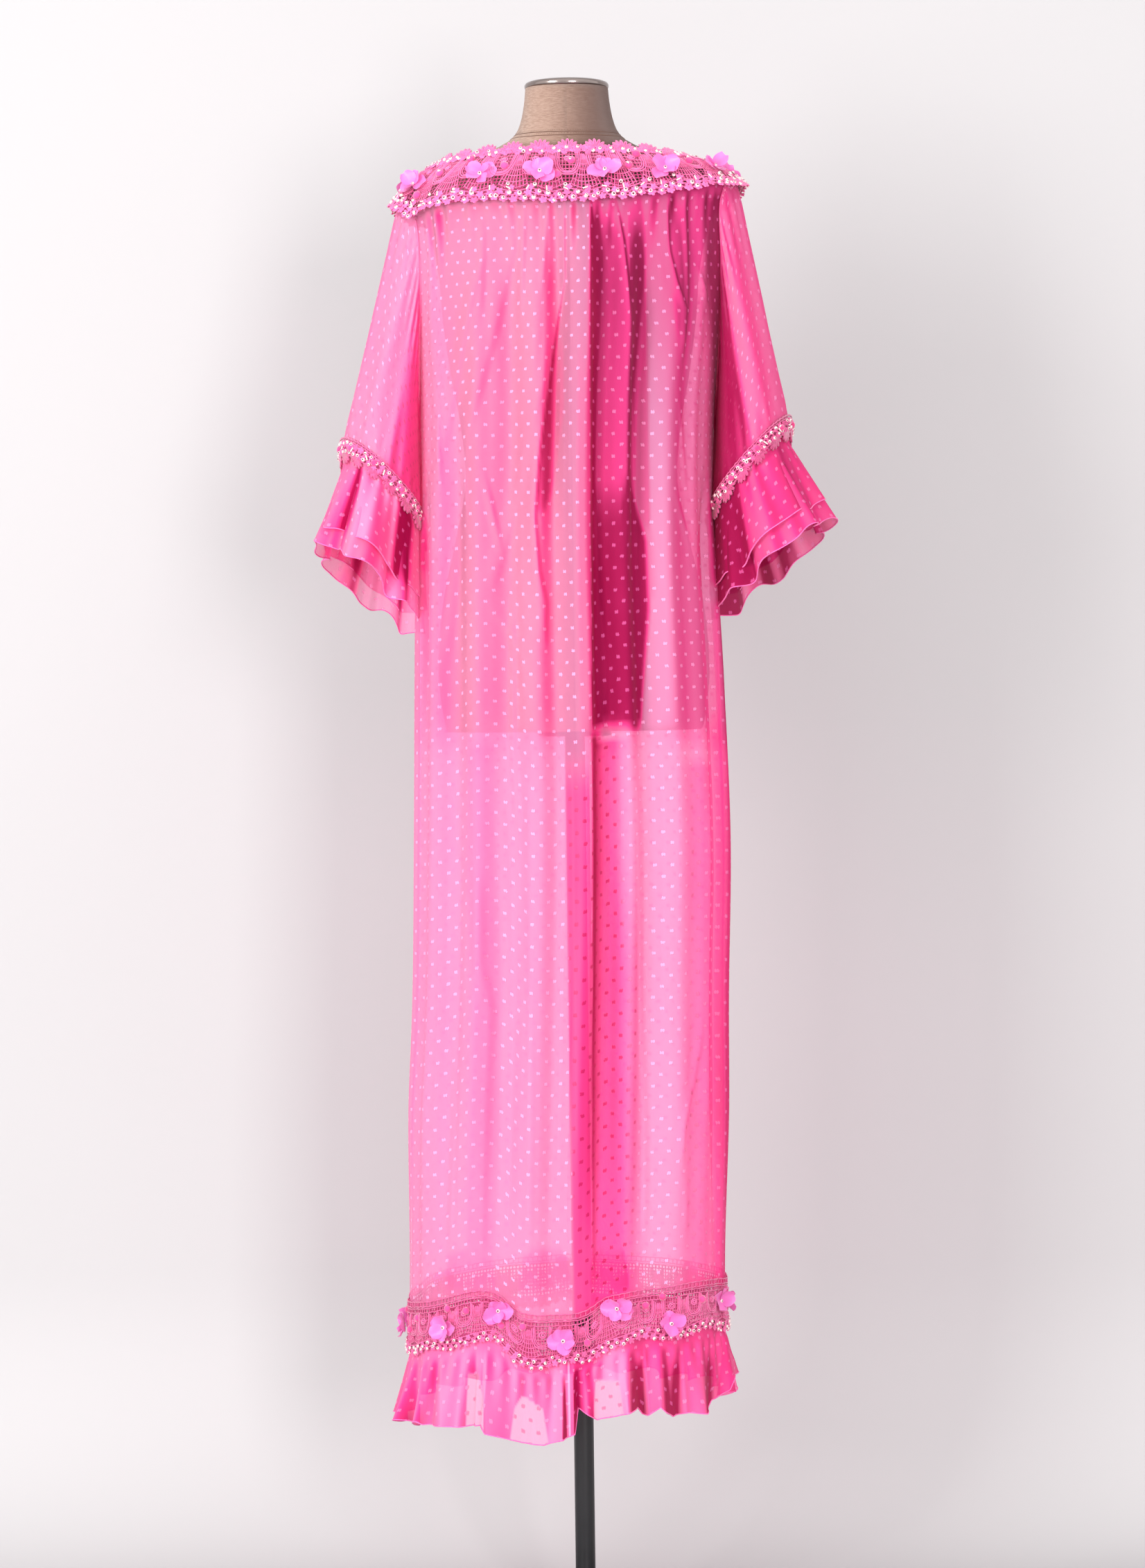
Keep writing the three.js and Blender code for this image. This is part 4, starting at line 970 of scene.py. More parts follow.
def pearl_material():
    n = Nodes("pearl")
    place = n.place()
    colour = n.blend(n.noise(place, 130.0), srgb(236, 214, 202), srgb(228, 186, 196))
    # Low tint gives the painted shade in the hole of a bead.
    colour = n.blend(n.value("tint"), srgb(96, 34, 60), colour)
    gloss = {"Specular IOR Level": 0.6, "Coat Weight": 0.5, "Coat Roughness": 0.08}
    return n.finish(n.principled(colour, 0.18, n.bump(n.noise(place, 700.0), 0.0002, 0.3), gloss))


def satin_material():
    n = Nodes("satin")
    place = n.place()
    colour = n.blend(n.value("tint"), srgb(216, 66, 158), srgb(246, 150, 214))
    colour = n.blend(n.noise(place, 90.0, 3.0), colour, srgb(234, 110, 190))
    normal = n.bump(n.noise(place, 420.0, 3.0), 0.0006, 0.4)
    face = n.principled(colour, 0.38, normal, {"Sheen Weight": 0.3})
    return n.finish(n.mixed(0.25, face, n.shader("Translucent", {"Color": colour})))


WEAVE = 1.3  # one thread over and one under


def linen_material():
    """Woven cover of the form, with painted shade that makes it darker towards its right side."""
    n = Nodes("linen")
    place = n.place()
    warp, weft = [n.maths("SINE", n.times(at, TAU / WEAVE)) for at in n.split(n.place("UV"))[:2]]
    weave = n.times(warp, weft)
    slub = n.node("ShaderNodeMapping", {"Vector": place, "Scale": (1.0, 1.0, 7.0)}).outputs[0]
    streak = n.noise(slub, 160.0, 4.0, 0.65)
    colour = n.blend(n.ramp(streak, 0.12, 0.88), srgb(132, 98, 80), srgb(212, 184, 166))
    colour = n.blend(n.times(n.noise(place, 22.0, 3.0), 0.5), colour, srgb(168, 132, 112))
    colour = n.blend(n.times(n.plus(weave, 1.0), 0.18), colour, srgb(96, 68, 56))
    # Painted shade: the right side of the form, away from the light, taken toward dark brown.
    right = n.times(n.ramp(n.split(place)[0], -0.046, 0.042), 0.9)
    colour = n.blend(right, colour, srgb(84, 56, 48))
    normal = n.bump(n.plus(weave, streak), 0.0005, 0.6)
    return n.finish(n.principled(colour, 0.85, normal, {"Sheen Weight": 0.15}))


def metal_material(name, colour, roughness, metallic, spots):
    n = Nodes(name)
    place = n.place()
    cloud = n.noise(place, 40.0, 4.0)
    normal = n.bump(n.noise(place, 900.0, 3.0), 0.0001, 0.25)
    rough = n.plus(roughness, n.times(cloud, 0.12))
    colour = n.blend(n.times(cloud, 0.5), colour, spots)
    return n.finish(n.principled(colour, rough, normal, {"Metallic": metallic}))


def wall_material():
    n = Nodes("studio_paper")
    colour = n.blend(n.noise(n.place(), 1.2), (0.43, 0.425, 0.427, 1), (0.45, 0.445, 0.447, 1))
    return n.finish(n.principled(colour, 0.95, None, {"Specular IOR Level": 0.1}))


chiffon = chiffon_material()
chiffon_edge = thread_material("chiffon_edge", srgb(214, 44, 132), srgb(246, 120, 186), 0.7, 0.2)
lace_cord = thread_material("lace_cord", srgb(150, 10, 74), srgb(248, 108, 172))
lace_net = net_material("lace_net", srgb(112, 8, 54), srgb(184, 42, 110), 4.1)
felt = thread_material("felt", srgb(186, 24, 92), srgb(232, 74, 146), 0.9, 0.6, 500.0)
seam_thread = thread_material("seam_thread", srgb(70, 44, 34), srgb(120, 88, 72), 0.85, 0.1)
pearl = pearl_material()
satin = satin_material()
linen = linen_material()
chrome = metal_material("chrome", srgb(150, 138, 134), 0.12, 1.0, srgb(120, 108, 104))
black_paint = metal_material("black_paint", srgb(14, 14, 16), 0.32, 0.0, srgb(26, 26, 30))
paper = wall_material()
TRIM_MATERIALS = [lace_cord, pearl, satin, felt]
CORD, PEARL, SATIN, FELT = range(4)

# Dress form and stand
LATHE_SIDES = 96
LATHE_EDGE = 0.6


def ring_piece(name, rings, material, uv=None):
    rows, columns = rings.shape[:2]
    points = rings.reshape(-1, 3)
    faces = [face[::-1] for face in grid_faces(rows, columns, closed=True)]
    faces.append(list(range(columns))[::-1])
    faces.append([(rows - 1) * columns + j for j in range(columns)])
    return make_piece(name, points, faces, [material], uv=uv)


def lathe_piece(name, profile, material, y):
    turn = np.arange(LATHE_SIDES) / LATHE_SIDES * TAU
    rings = np.array([[(r * math.sin(a), y - r * math.cos(a), z) for a in turn] for r, z in profile])
    obj = ring_piece(name, rings, material)
    cut = obj.modifiers.new("edges", "BEVEL")
    cut.width = LATHE_EDGE * MM
    cut.segments = 2
    cut.angle_limit = math.radians(35)
    return obj


FORM_ROWS = 110
FORM_SIDES = 112
SEAM_STEPS = 150
STITCH_ENDS = 300
form_z = np.concatenate([[1024.0, 1024.6, 1026.0], np.linspace(1030, 1761, FORM_ROWS)])
form_turn = np.arange(FORM_SIDES) / FORM_SIDES * TAU


def form_point(angle, z):
    x, y = oval(angle, look_up(FORM, z, 1), look_up(FORM, z, 2), look_up(FORM, z, 3), FORM_POWER)
    return points_of(x, y, z)


form_rings = form_point(form_turn[None, :], form_z[:, None])
form_uv = np.stack(np.broadcast_arrays(form_turn[None, :] * 140, form_z[:, None]), -1)
torso = ring_piece("linen_torso", form_rings, linen, uv=form_uv.reshape(-1, 2))
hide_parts("form_torso")

seams = Trims()
seam_z = np.linspace(1030, 1700, SEAM_STEPS)
for angle in (0.0, math.pi):
    line = form_point(np.full(SEAM_STEPS, angle), seam_z)
    normal = unit(line * [1, 1, 0])
    seams.cords((line - normal * 0.1)[None], normal[None], 0.55, 0, tint=0.2)
for height in (1706.5, 1702.5):
    line = form_point(form_turn, np.full(FORM_SIDES, height))
    normal = unit(line * [1, 1, 0])
    seams.cords((line - normal * 0.05)[None], normal[None], 0.6, 0, closed=True, tint=0.2)
    dash = form_point(np.linspace(0, TAU, STITCH_ENDS, endpoint=False), np.full(STITCH_ENDS, height + 2.0))
    normal = unit(dash * [1, 1, 0])
    ends = np.stack([dash[::2], dash[1::2] * 0.6 + dash[::2] * 0.4], 1)
    seams.cords(ends + normal[::2][:, None] * 0.1, np.repeat(normal[::2][:, None], 2, 1), 0.3, 0, tint=0.1)
torso_seams = seams.piece("linen_torso_seams", [seam_thread])

neck_top = FORM[-1, 0]
pole_top = FORM[0, 0] - REST_GAP - FLANGE_THICKNESS - REST_GAP
flange_foot = pole_top + REST_GAP

# Turned pieces: name, the solid it stands for, slot, material, y of the axis, profile as radius and height
TURNED = [
    ("neck_cap", "form_cap", "form_cap", chrome, CAP_Y, [
        (CAP_RADIUS - 1, neck_top + REST_GAP),
        (CAP_RADIUS, neck_top + 2),
        (CAP_RADIUS, CAP_TOP - 3.5),
        (CAP_RADIUS - 1.5, CAP_TOP - 1.4),
        (CAP_RADIUS - 5, CAP_TOP),
        (CAP_RADIUS - 12, CAP_TOP),
    ]),
    ("base_plate", "stand_base", "stand", black_paint, 0.0, [
        (BASE_RADIUS - 1, 0),
        (BASE_RADIUS, 1),
        (BASE_RADIUS, BASE_THICKNESS - 3),
        (BASE_RADIUS - 4, BASE_THICKNESS),
        (COLLAR_RADIUS + 6, BASE_THICKNESS + 2),
        (COLLAR_RADIUS + 1, BASE_THICKNESS + 6),
        (COLLAR_RADIUS, COLLAR_TOP - 2),
        (COLLAR_RADIUS - 2, COLLAR_TOP),
    ]),
    ("pole", "stand_pole", "stand", black_paint, 0.0, [
        (POLE_RADIUS - 0.5, COLLAR_TOP + REST_GAP),
        (POLE_RADIUS, COLLAR_TOP + 1),
        (POLE_RADIUS, pole_top - 1),
        (POLE_RADIUS - 0.5, pole_top),
    ]),
    ("flange", "stand_flange", "stand", black_paint, 0.0, [
        (FLANGE_RADIUS - 1, flange_foot),
        (FLANGE_RADIUS, flange_foot + 1),
        (FLANGE_RADIUS, flange_foot + FLANGE_THICKNESS - 1),
        (FLANGE_RADIUS - 1, flange_foot + FLANGE_THICKNESS),
    ]),
]
for name, solid, slot, material, y, profile in TURNED:
    obj = lathe_piece(name, profile, material, y)
    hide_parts(solid)


# Chiffon body

# Painted shade from the bands of the back, as a share of full dark at each point.
def shade_bands_at(x, z, back):
    dark = np.zeros(np.shape(z))
    if not back:
        return dark
    for band, strength, soft_left, soft_right, fade in BACK_SHADE_BANDS:
        rows = np.array(band)[::-1]
        left = np.interp(z, rows[:, 0], rows[:, 1])
        right = np.interp(z, rows[:, 0], rows[:, 2])
        inside = smooth((x - left) / soft_left + 0.5) * smooth((right - x) / soft_right + 0.5)
        ends = smooth((rows[-1, 0] - z) / fade) * smooth((z - rows[0, 0]) / 20)
        dark = np.maximum(dark, strength * inside * ends)
    return dark


def steepness(grid, share, z):
    """More cloth than outline: where the sheet folds away from the plain oval it shows denser."""
    step = np.linalg.norm(np.diff(grid, axis=1), axis=-1)
    plain = np.linalg.norm(np.diff(body_point(share, z, PLAIN), axis=1), axis=-1)
    extra = np.clip(step / np.maximum(plain, 0.2) - 1, 0, 1)
    return np.concatenate([extra, extra[:, -1:]], axis=1)


def turned_right(grid):
    """How far each part of the sheet turns to the right, away from the lit side."""
    along = np.gradient(grid, axis=1)
    down = np.gradient(grid, axis=0)
    normal = unit(np.cross(down, along))
    return np.clip(normal[..., 0], -1, 1)


def levels(upper, lower):
    return np.concatenate([np.linspace(0, 1, upper, endpoint=False) ** 1.15, 1 + np.linspace(0, 1, lower)])


HALVES = {"back": (0.0, 300, levels(44, 118)), "front": (0.5, 220, levels(30, 84))}
for half, (middle, columns, rows) in HALVES.items():
    grid, share, z = body_grid(middle, columns, rows)
    dark = shade_bands_at(grid[..., 0], z, half == "back")
    # Painted shade where the sheet turns to the right, away from the lit side; darker too where it folds, as
    # denser cloth.
    slope = turned_right(grid) - turned_right(body_point(share, z, PLAIN))
    change = 0.20 * steepness(grid, share, z) + mix(0.15, 0.42, smooth((z - 1000) / 60)) * slope
    # Painted shade on the back: darker towards its right side and upper right, away from the light, and a
    # little wherever the form lies behind.
    if half == "back":
        x = grid[..., 0]
        low = smooth((1020 - z) / 30)
        edge = mix(0.32, 0.14, smooth((z - 1330) / 120))
        change = change + edge * smooth((x - 92) / mix(40, 80, low)) + 0.12 * (1 - low)
        change = change + 0.4 * smooth(x / 100) * smooth((z - 1300) / 260)
    dark = np.clip(dark + np.where(change < 0, change * (1 - dark) ** 1.5, change), 0, 1)
    # Tufts painted dark, as if lit from behind, in the dark cloth below the form.
    backlit = smooth((dark - 0.3) / 0.25) * smooth((1030 - z) / 20) * smooth((150 - grid[..., 0]) / 20)
    # Painted shadow takes the back right of the middle toward grey above the form's lower edge, more higher
    # up.
    shadow = mix(0.09, 0.24, smooth((z - 1180) / 240)) * smooth((grid[..., 0] - 5) / 40)
    shadow = shadow * smooth((z - 1010) / 20) * (half == "back")
    dense = 0.4 * smooth((grid[..., 0] - 40) / 60) * smooth((z - 1015) / 20) * (half == "back")
    obj = sheet_piece("chiffon_body_" + half, grid, chiffon, {
        "layers_and_shade": dark, "backlit": backlit, "dense": dense, "shadow": shadow})
    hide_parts("body_" + half)

# Sleeves, ruffles and their rolled edges
rolled = Trims()
ROLLED_EDGE = 0.8


def rolled_edge(line):
    normal = np.zeros_like(line)
    normal[:, 2] = 1.0
    rolled.cords(line[None], normal[None], ROLLED_EDGE, 0, tint=0.35)


for name, sleeve in SLEEVES.items():
    def ring_grid(columns, rows, point):
        turn = 0.5 + np.linspace(0, 1, columns)
        if sleeve["side"] > 0:
            turn = turn[::-1]
        turn = turn - np.floor(turn)
        turn, down = np.meshgrid(turn, rows)
        return point(turn, down)

    def plain_sleeve(share, down):
        return mix(armhole_ring(sleeve, share), cuff_ring(sleeve, share, -SEAM, 0), down[..., None])

    dim = sleeve["dim"]
    rows = np.linspace(0, 1, 70)
    grid = ring_grid(170, rows, lambda s, d: sleeve_point(sleeve, s, d))
    turn = 0.5 + np.linspace(0, 1, 170)
    # Painted shade on the sleeve: darker towards its inner side by the body, where it lies in shade and shows
    # doubled, where it turns to the right, and by dim; its inner tufts painted dark as if lit from behind.
    inner = smooth((0.5 - 0.5 * np.cos(TAU * turn) - 0.42) / 0.22)
    lean = turned_right(grid) - turned_right(ring_grid(170, rows, plain_sleeve))
    dark = np.clip(mix(dim, 0.64 + 0.62 * dim, inner[None, :]) + 0.5 * lean, 0, 1)
    obj = sheet_piece("chiffon_sleeve_" + name, grid, chiffon, {
        "layers_and_shade": dark, "backlit": np.broadcast_to(0.8 * inner[None, :], grid.shape[:2]),
        "shadow": np.full(grid.shape[:2], 0.2 * dim)})
    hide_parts("sleeve_" + name)
    for layer, foot, inset in (("upper", RUFFLE_UPPER, 0), ("lower", RUFFLE_LOWER, LAYER_STEP)):
        rows = np.linspace(SEAM, foot, 26)
        grid = ring_grid(330, rows, lambda s, d: ruffle_point(sleeve, s, d, inset, inset))
        plain = ring_grid(330, rows, lambda s, d: cuff_ring(sleeve, s, d, inset))
        lean = turned_right(grid) - turned_right(plain)
        turn, down = ring_grid(330, rows, lambda s, d: np.stack([s, d]))
        # Painted shade on the ruffle: darker in the hollows of its folds, towards its inner side, where it
        # turns to the right, and by dim.
        inward = smooth((0.5 - 0.5 * np.cos(TAU * turn) - 0.6) / 0.3)
        hollow = np.clip(-ruffle_push(sleeve, turn) / 14, 0, 1) * smooth(down / 30)
        hollow = hollow * (1 - 0.4 * smooth((down - 80) / 30))
        dark = np.clip(0.2 + dim + hollow + dim * inward + 0.6 * lean, 0, 1)
        dense = np.full(grid.shape[:2], 0.55 if layer == "upper" else 0.3)
        obj = sheet_piece("chiffon_" + name + "_ruffle_" + layer, grid, chiffon, {
            "layers_and_shade": dark, "dense": dense, "shadow": np.full(grid.shape[:2], 0.2 * dim)})
        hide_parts("sleeve_" + name + "_ruffle_" + layer)
        rolled_edge(grid[-1])

for half, (middle, columns, _) in HALVES.items():
    reach = np.linspace(-1, 1, 520 if half == "back" else 300)
    hidden_rows = np.linspace(HEM_RUFFLE_START, HEM_FREE, 4, endpoint=False)
    rows = np.concatenate([hidden_rows, np.linspace(HEM_FREE, HEM_RUFFLE_END, 26)])
    share, below = np.meshgrid(middle + reach * (SIDE - EDGE_SHARE), rows)
    grid = hem_ruffle_point(share, below)
    lean = turned_right(grid) - turned_right(body_point(share, hem_top(share) - below, PLAIN))
    crowd = np.gradient(angle_of(share) * 150, axis=1)
    stretch = np.linalg.norm(np.gradient(grid, axis=1), axis=-1) / np.maximum(np.abs(crowd), 0.3)
    x, y, z = grid[..., 0], grid[..., 1], grid[..., 2]
    hollow = np.clip(-hem_folds_at(x) / 12, 0, 1) * (y < 0)
    window = np.zeros(grid.shape[:2])
    for rows in HEM_WINDOWS if half == "back" else []:
        heights, left, right = np.array(rows)[::-1].T
        inside = smooth((x - np.interp(z, heights, left)) / 3 + 0.5)
        inside = inside * smooth((np.interp(z, heights, right) - x) / 3 + 0.5)
        window = np.maximum(window, inside * smooth((heights[-1] - z) / 4 + 0.5))
    # Painted shade on the hem ruffle: darker in the hollows of the back's folds, where it turns to the right
    # and towards the back's right side; also darker where cloth crowds, and left light in the windows of one
    # layer.
    dark = 0.34 + 0.6 * hollow * smooth((320 - z) / 30) + 0.5 * lean + 0.2 * (stretch - 1.1)
    dark = dark + 0.42 * smooth((x - 40) / 30) * (y < 0)
    dark = np.clip(dark, 0, 1) * (1 - window)
    obj = sheet_piece("chiffon_hem_ruffle_" + half, grid, chiffon, {
        "layers_and_shade": dark, "backlit": 0.8 * window, "dense": (0.75 if half == "back" else 0.2) * (1 - window)})
    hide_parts("hem_ruffle_" + half)
    rolled_edge(grid[-1])
edges = rolled.piece("rolled_edges", [chiffon_edge])


# Small shapes of the lace: each is a list of points and faces of one unit across

def bead_shape(sides=8):
    profile = [(0.95, -0.35), (1.0, 0.1), (0.86, 0.58), (0.58, 0.8), (0.4, 0.66), (0.2, 0.2)]
    turn = np.arange(sides) / sides * TAU
    points = np.array([[(r * math.cos(a), r * math.sin(a), h) for a in turn] for r, h in profile])
    faces = [face[::-1] for face in grid_faces(len(profile), sides, closed=True)]
    # Tint falls to nought in the hole at the top: painted shade in the hole.
    tint = np.repeat([1.0, 1.0, 1.0, 0.9, 0.1, 0.0], sides)
    return points.reshape(-1, 3), faces, tint


def blossom_shape(petals=5, sides=4):
    points = [(0.0, 0.0, 0.35)]
    faces = []
    for k in range(petals):
        start = len(points)
        for i in range(sides + 1):
            a = i / sides - 0.5
            turn = TAU * k / petals + a * TAU / petals
            reach = 0.62 + 0.38 * math.cos(math.pi * a)
            height = 0.05 + 0.15 * math.cos(math.pi * a)
            points.append((reach * math.cos(turn), reach * math.sin(turn), height))
        mid = len(points)
        points.append((0.62 * math.cos(TAU * k / petals), 0.62 * math.sin(TAU * k / petals), 0.5))
        for i in range(sides):
            faces.append((mid, start + i, start + i + 1))
        faces.append((0, start, mid))
        faces.append((0, mid, start + sides))
    return np.array(points), faces


def petal_shape(rows=6, columns=7):
    points = []
    for i in range(rows):
        out = i / (rows - 1)
        wide = 0.08 + 0.47 * math.sin(math.pi * min(1.0, 0.06 + out * 0.80)) ** 0.9
        for j in range(columns):
            across = j / (columns - 1) * 2 - 1
            reach = out * (1.0 - 0.13 * across * across)
            lift = 0.10 + 0.30 * out**1.4 + 0.16 * across * across * out - 0.05 * math.sin(4 * across) * out
            points.append((reach, across * wide, lift))
    return np.array(points), grid_faces(rows, columns)


def ball_shape(rows=7, columns=10):
    points = []
    for i in range(rows):
        a = math.pi * (i / (rows - 1)) * 0.62
        for j in range(columns):
            t = TAU * j / columns
            r = math.sin(a) * (1 + 0.14 * math.sin(5 * t + 2.2 * a))
            points.append((r * math.cos(t), r * math.sin(t), 0.2 + math.cos(a) * 0.75))
    return np.array(points), [f[::-1] for f in grid_faces(rows, columns, closed=True)]


def bugle_shape(sides=6):
    turn = np.arange(sides) / sides * TAU
    points = []
    for x in (-1.0, -0.94, 0.94, 1.0):
        r = 0.24 if abs(x) == 1.0 else 0.32
        points += [(x, r * math.cos(a), r * math.sin(a) + 0.3) for a in turn]
    return np.array(points), [f[::-1] for f in grid_faces(4, sides, closed=True)]


BEAD, BEAD_FACES, BEAD_TINT = bead_shape()
BLOSSOM, BLOSSOM_FACES = blossom_shape()
PETAL, PETAL_FACES = petal_shape()
BALL, BALL_FACES = ball_shape()
BUGLE, BUGLE_FACES = bugle_shape()


class Surface:
    """A band that lace is laid on: maps a share of the way round and millimetres down to space."""

    def __init__(self, point, normal, ring):
        self.point = point
        self.normal = normal
        self.ring = ring

    def lay(self, share, down, lift):
        at = self.point(share, down)
        normal = self.normal(share, down)
        return at + normal * np.asarray(lift)[..., None], normal


def yoke_width(share):
    neck = yoke_point(share, np.zeros(np.shape(share)))
    foot = yoke_point(share, np.ones(np.shape(share)))
    return np.linalg.norm(foot - neck, axis=-1) * 1.04


def yoke_down(share, down):
    return yoke_point(share, down / yoke_width(share))


def yoke_down_normal(share, down):
    return yoke_normal(share, down / yoke_width(share))


YOKE = Surface(yoke_down, yoke_down_normal, 880)
HEM = Surface(hem_band_point, lambda s, d: body_normal(s, hem_top(s) - d), GIRTH)
LACE_FACE = LACE / 2


def stand_on(surface, share, down, lift=LACE_FACE):
    share = np.asarray(share, float)
    return surface.lay(share, np.asarray(down, float), np.full(share.shape, lift))


def any_turn(many):
    return rng.random(many) * TAU


def add_beads(trims, surface, share, down, radius, lift=LACE_FACE, kept=0.8):
    keep = rng.random(len(share)) < kept
    share = np.asarray(share, float)[keep]
    many = len(share)
    down = np.asarray(down, float)[keep] + 1.3 * rng.normal(size=many)
    share = share + 0.0012 * rng.normal(size=many)
    centres, normals = stand_on(surface, share, down, lift)
    size = 0.86 * radius * (0.85 + 0.3 * rng.random(many))
    tilt = unit(normals + 0.35 * rng.normal(size=normals.shape))
    trims.copies(BEAD, BEAD_FACES, centres, tilt, size, PEARL, any_turn(many), BEAD_TINT)


def add_blossoms(trims, surface, share, down, radius):
    centres, normals = stand_on(surface, share, down)
    many = len(centres)
    size = radius * (0.9 + 0.2 * rng.random(many))
    spins = any_turn(many)
    trims.copies(BLOSSOM, BLOSSOM_FACES, centres, normals, size, CORD, spins, 0.55 + 0.35 * rng.random(many))


def add_balls(trims, surface, share, down, radius):
    centres, normals = stand_on(surface, share, down)
    many = len(centres)
    spins = any_turn(many)
    trims.copies(BALL, BALL_FACES, centres, normals, radius, FELT, spins, 0.3 + 0.5 * rng.random(many))


def add_bugles(trims, surface, share, down):
    centres, normals = stand_on(surface, share, down, LACE_FACE + 0.6)
    trims.copies(BUGLE, BUGLE_FACES, centres, normals, 3.0, PEARL, any_turn(len(centres)), 1.0)


PETALS = 5
FLOWER_LIFT = LACE_FACE + 0.4


def add_flower(trims, surface, share, down, radius, turn):
    share = np.array([share])
    down = np.array([float(down)])
    centre, normal = surface.lay(share, down, np.array([FLOWER_LIFT]))
    for k in range(PETALS):
        spin = turn + TAU * k / PETALS + 0.16 * math.sin(7 * k + turn)
        size = radius * (0.92 + 0.14 * math.sin(3 * k + 2 * turn))
        tilt = unit(normal + 0.20 * rng.normal(size=normal.shape))
        shade = 0.35 + 0.6 * np.clip(PETAL[:, 0] + 0.25 * np.sin(9 * PETAL[:, 1]), 0, 1)
        at = centre + normal * (0.25 * k)
        trims.copies(PETAL, PETAL_FACES, at, tilt, size, SATIN, np.array([spin]), shade)
    trims.copies(BEAD, BEAD_FACES, centre + normal * 2.2, normal, 2.5, PEARL, None, BEAD_TINT)


def add_lines(trims, surface, share, down, lift, radius, closed=False, tint=0.5, flat=1.0):
    """Cords through points given as shares and millimetres down: arrays of (lines, points)."""
    share, down, lift = np.broadcast_arrays(share, down, lift)
    lines, normals = surface.lay(share, down, lift)
    trims.cords(lines, normals, radius, CORD, closed, flat=flat, tint=tint)


def shell_fans(trims, surface, centres, down, reach, spread, loops, up, wide, tint=0.6):
    """Fans of long loops, like shells, that stand on an edge. up is -1 for fans that point up."""
    steps = 10
    turn = np.arange(steps) / steps * TAU
    k = np.arange(loops) - (loops - 1) / 2
    lean = k / max(1, (loops - 1) / 2) * spread
    length = reach * (1 - 0.16 * (np.abs(k) / max(1, (loops - 1) / 2)) ** 2)
    mid = 0.56 * length[:, None] + 0.44 * length[:, None] * np.cos(turn)[None]
    side = wide * np.sin(turn)[None] * (0.55 + 0.45 * mid / reach)
    x = mid * np.sin(lean)[:, None] + side * np.cos(lean)[:, None]
    y = up * (mid * np.cos(lean)[:, None] - side * np.sin(lean)[:, None])
    share = (centres[:, None, None] + x[None] / surface.ring).reshape(-1, steps)
    low = (np.broadcast_to(down, centres.shape)[:, None, None] + y[None]).reshape(-1, steps)
    add_lines(trims, surface, share, low, np.full(share.shape, 0.6), 1.25, closed=True, tint=tint, flat=1.1)


WEB_REACH = 22


def motif(trims, surface, centres, top, height, pitch, arch_half):
    """One lace motif at each centre: a braided arch round a square net, and a web fan in the gap."""
    ring = surface.ring
    c = centres[:, None]
    steps = 15
    t = np.linspace(-1, 1, steps)[None]
    top = np.broadcast_to(top, centres.shape)[:, None]
    height = np.broadcast_to(height, centres.shape)[:, None]
    arch_x = arch_half * signed_power(np.sin(t * np.pi / 2), 0.75)
    arch_y = 0.62 * signed_power(np.cos(t * np.pi / 2), 0.6)
    for grow, lift, radius in ((1.0, 0.9, 1.05), (1.18, 0.7, 0.9), (0.84, 0.6, 0.75)):
        down = top + height * arch_y * (0.9 + 0.1 * grow) + 9 * (grow - 1)
        add_lines(trims, surface, c + grow * arch_x / ring, down, lift, radius, tint=0.62)
    # Square net inside the arch
    for x in np.linspace(-0.75, 0.75, 6) * arch_half:
        depth = 0.60 * (1 - abs(x / arch_half) ** 2.2) ** 0.6
        line = np.linspace(0.0, 1, 5)[None]
        add_lines(trims, surface, c + x / ring, top + height * depth * line, 0.1, 0.5, tint=0.4)
    for y in np.linspace(0.1, 0.52, 5):
        half = arch_half * (1 - (y / 0.62) ** 2.2) ** 0.5
        line = np.linspace(-1, 1, 6)[None]
        add_lines(trims, surface, c + half * line / ring, top + height * y, 0.1, 0.5, tint=0.4)
    # Round rosette inside the arch
    turn = np.arange(9) / 9 * TAU
    for radius, lift in ((3.4, 0.9), (1.6, 1.3)):
        add_lines(trims, surface, c + radius * np.cos(turn)[None] / ring,
                  top + height * 0.24 + radius * np.sin(turn)[None], lift, 0.85, closed=True, tint=0.8)
    # Web fan between the arches
    g = c + pitch / 2 / ring
    for lean in np.linspace(-0.62, 0.62, 9):
        line = np.linspace(0.10, 1.0, 6)[None]
        spoke_x = math.sin(lean) * line * WEB_REACH
        down = top + height * 0.98 * line * math.cos(lean) ** 0.5
        add_lines(trims, surface, g + spoke_x / ring, down, 0.15, 0.66, tint=0.5)
    for out in (0.28, 0.42, 0.56, 0.70, 0.84, 0.97):
        lean = np.linspace(-0.62, 0.62, 9)[None]
        down = top + height * 0.98 * out * np.cos(lean) ** 0.5
        add_lines(trims, surface, g + np.sin(lean) * out * WEB_REACH / ring, down, 0.25, 0.62, tint=0.45)


def zigzag(share, count, depth):
    return depth * np.abs(np.sin(np.pi * count * share))


# Lace yoke

def net_grid(surface, shares, top, foot, rows):
    down = top[None] + (foot - top)[None] * np.linspace(0, 1, rows)[:, None]
    share = np.broadcast_to(shares[None], down.shape)
    return surface.point(share, down) - surface.normal(share, down) * 0.2


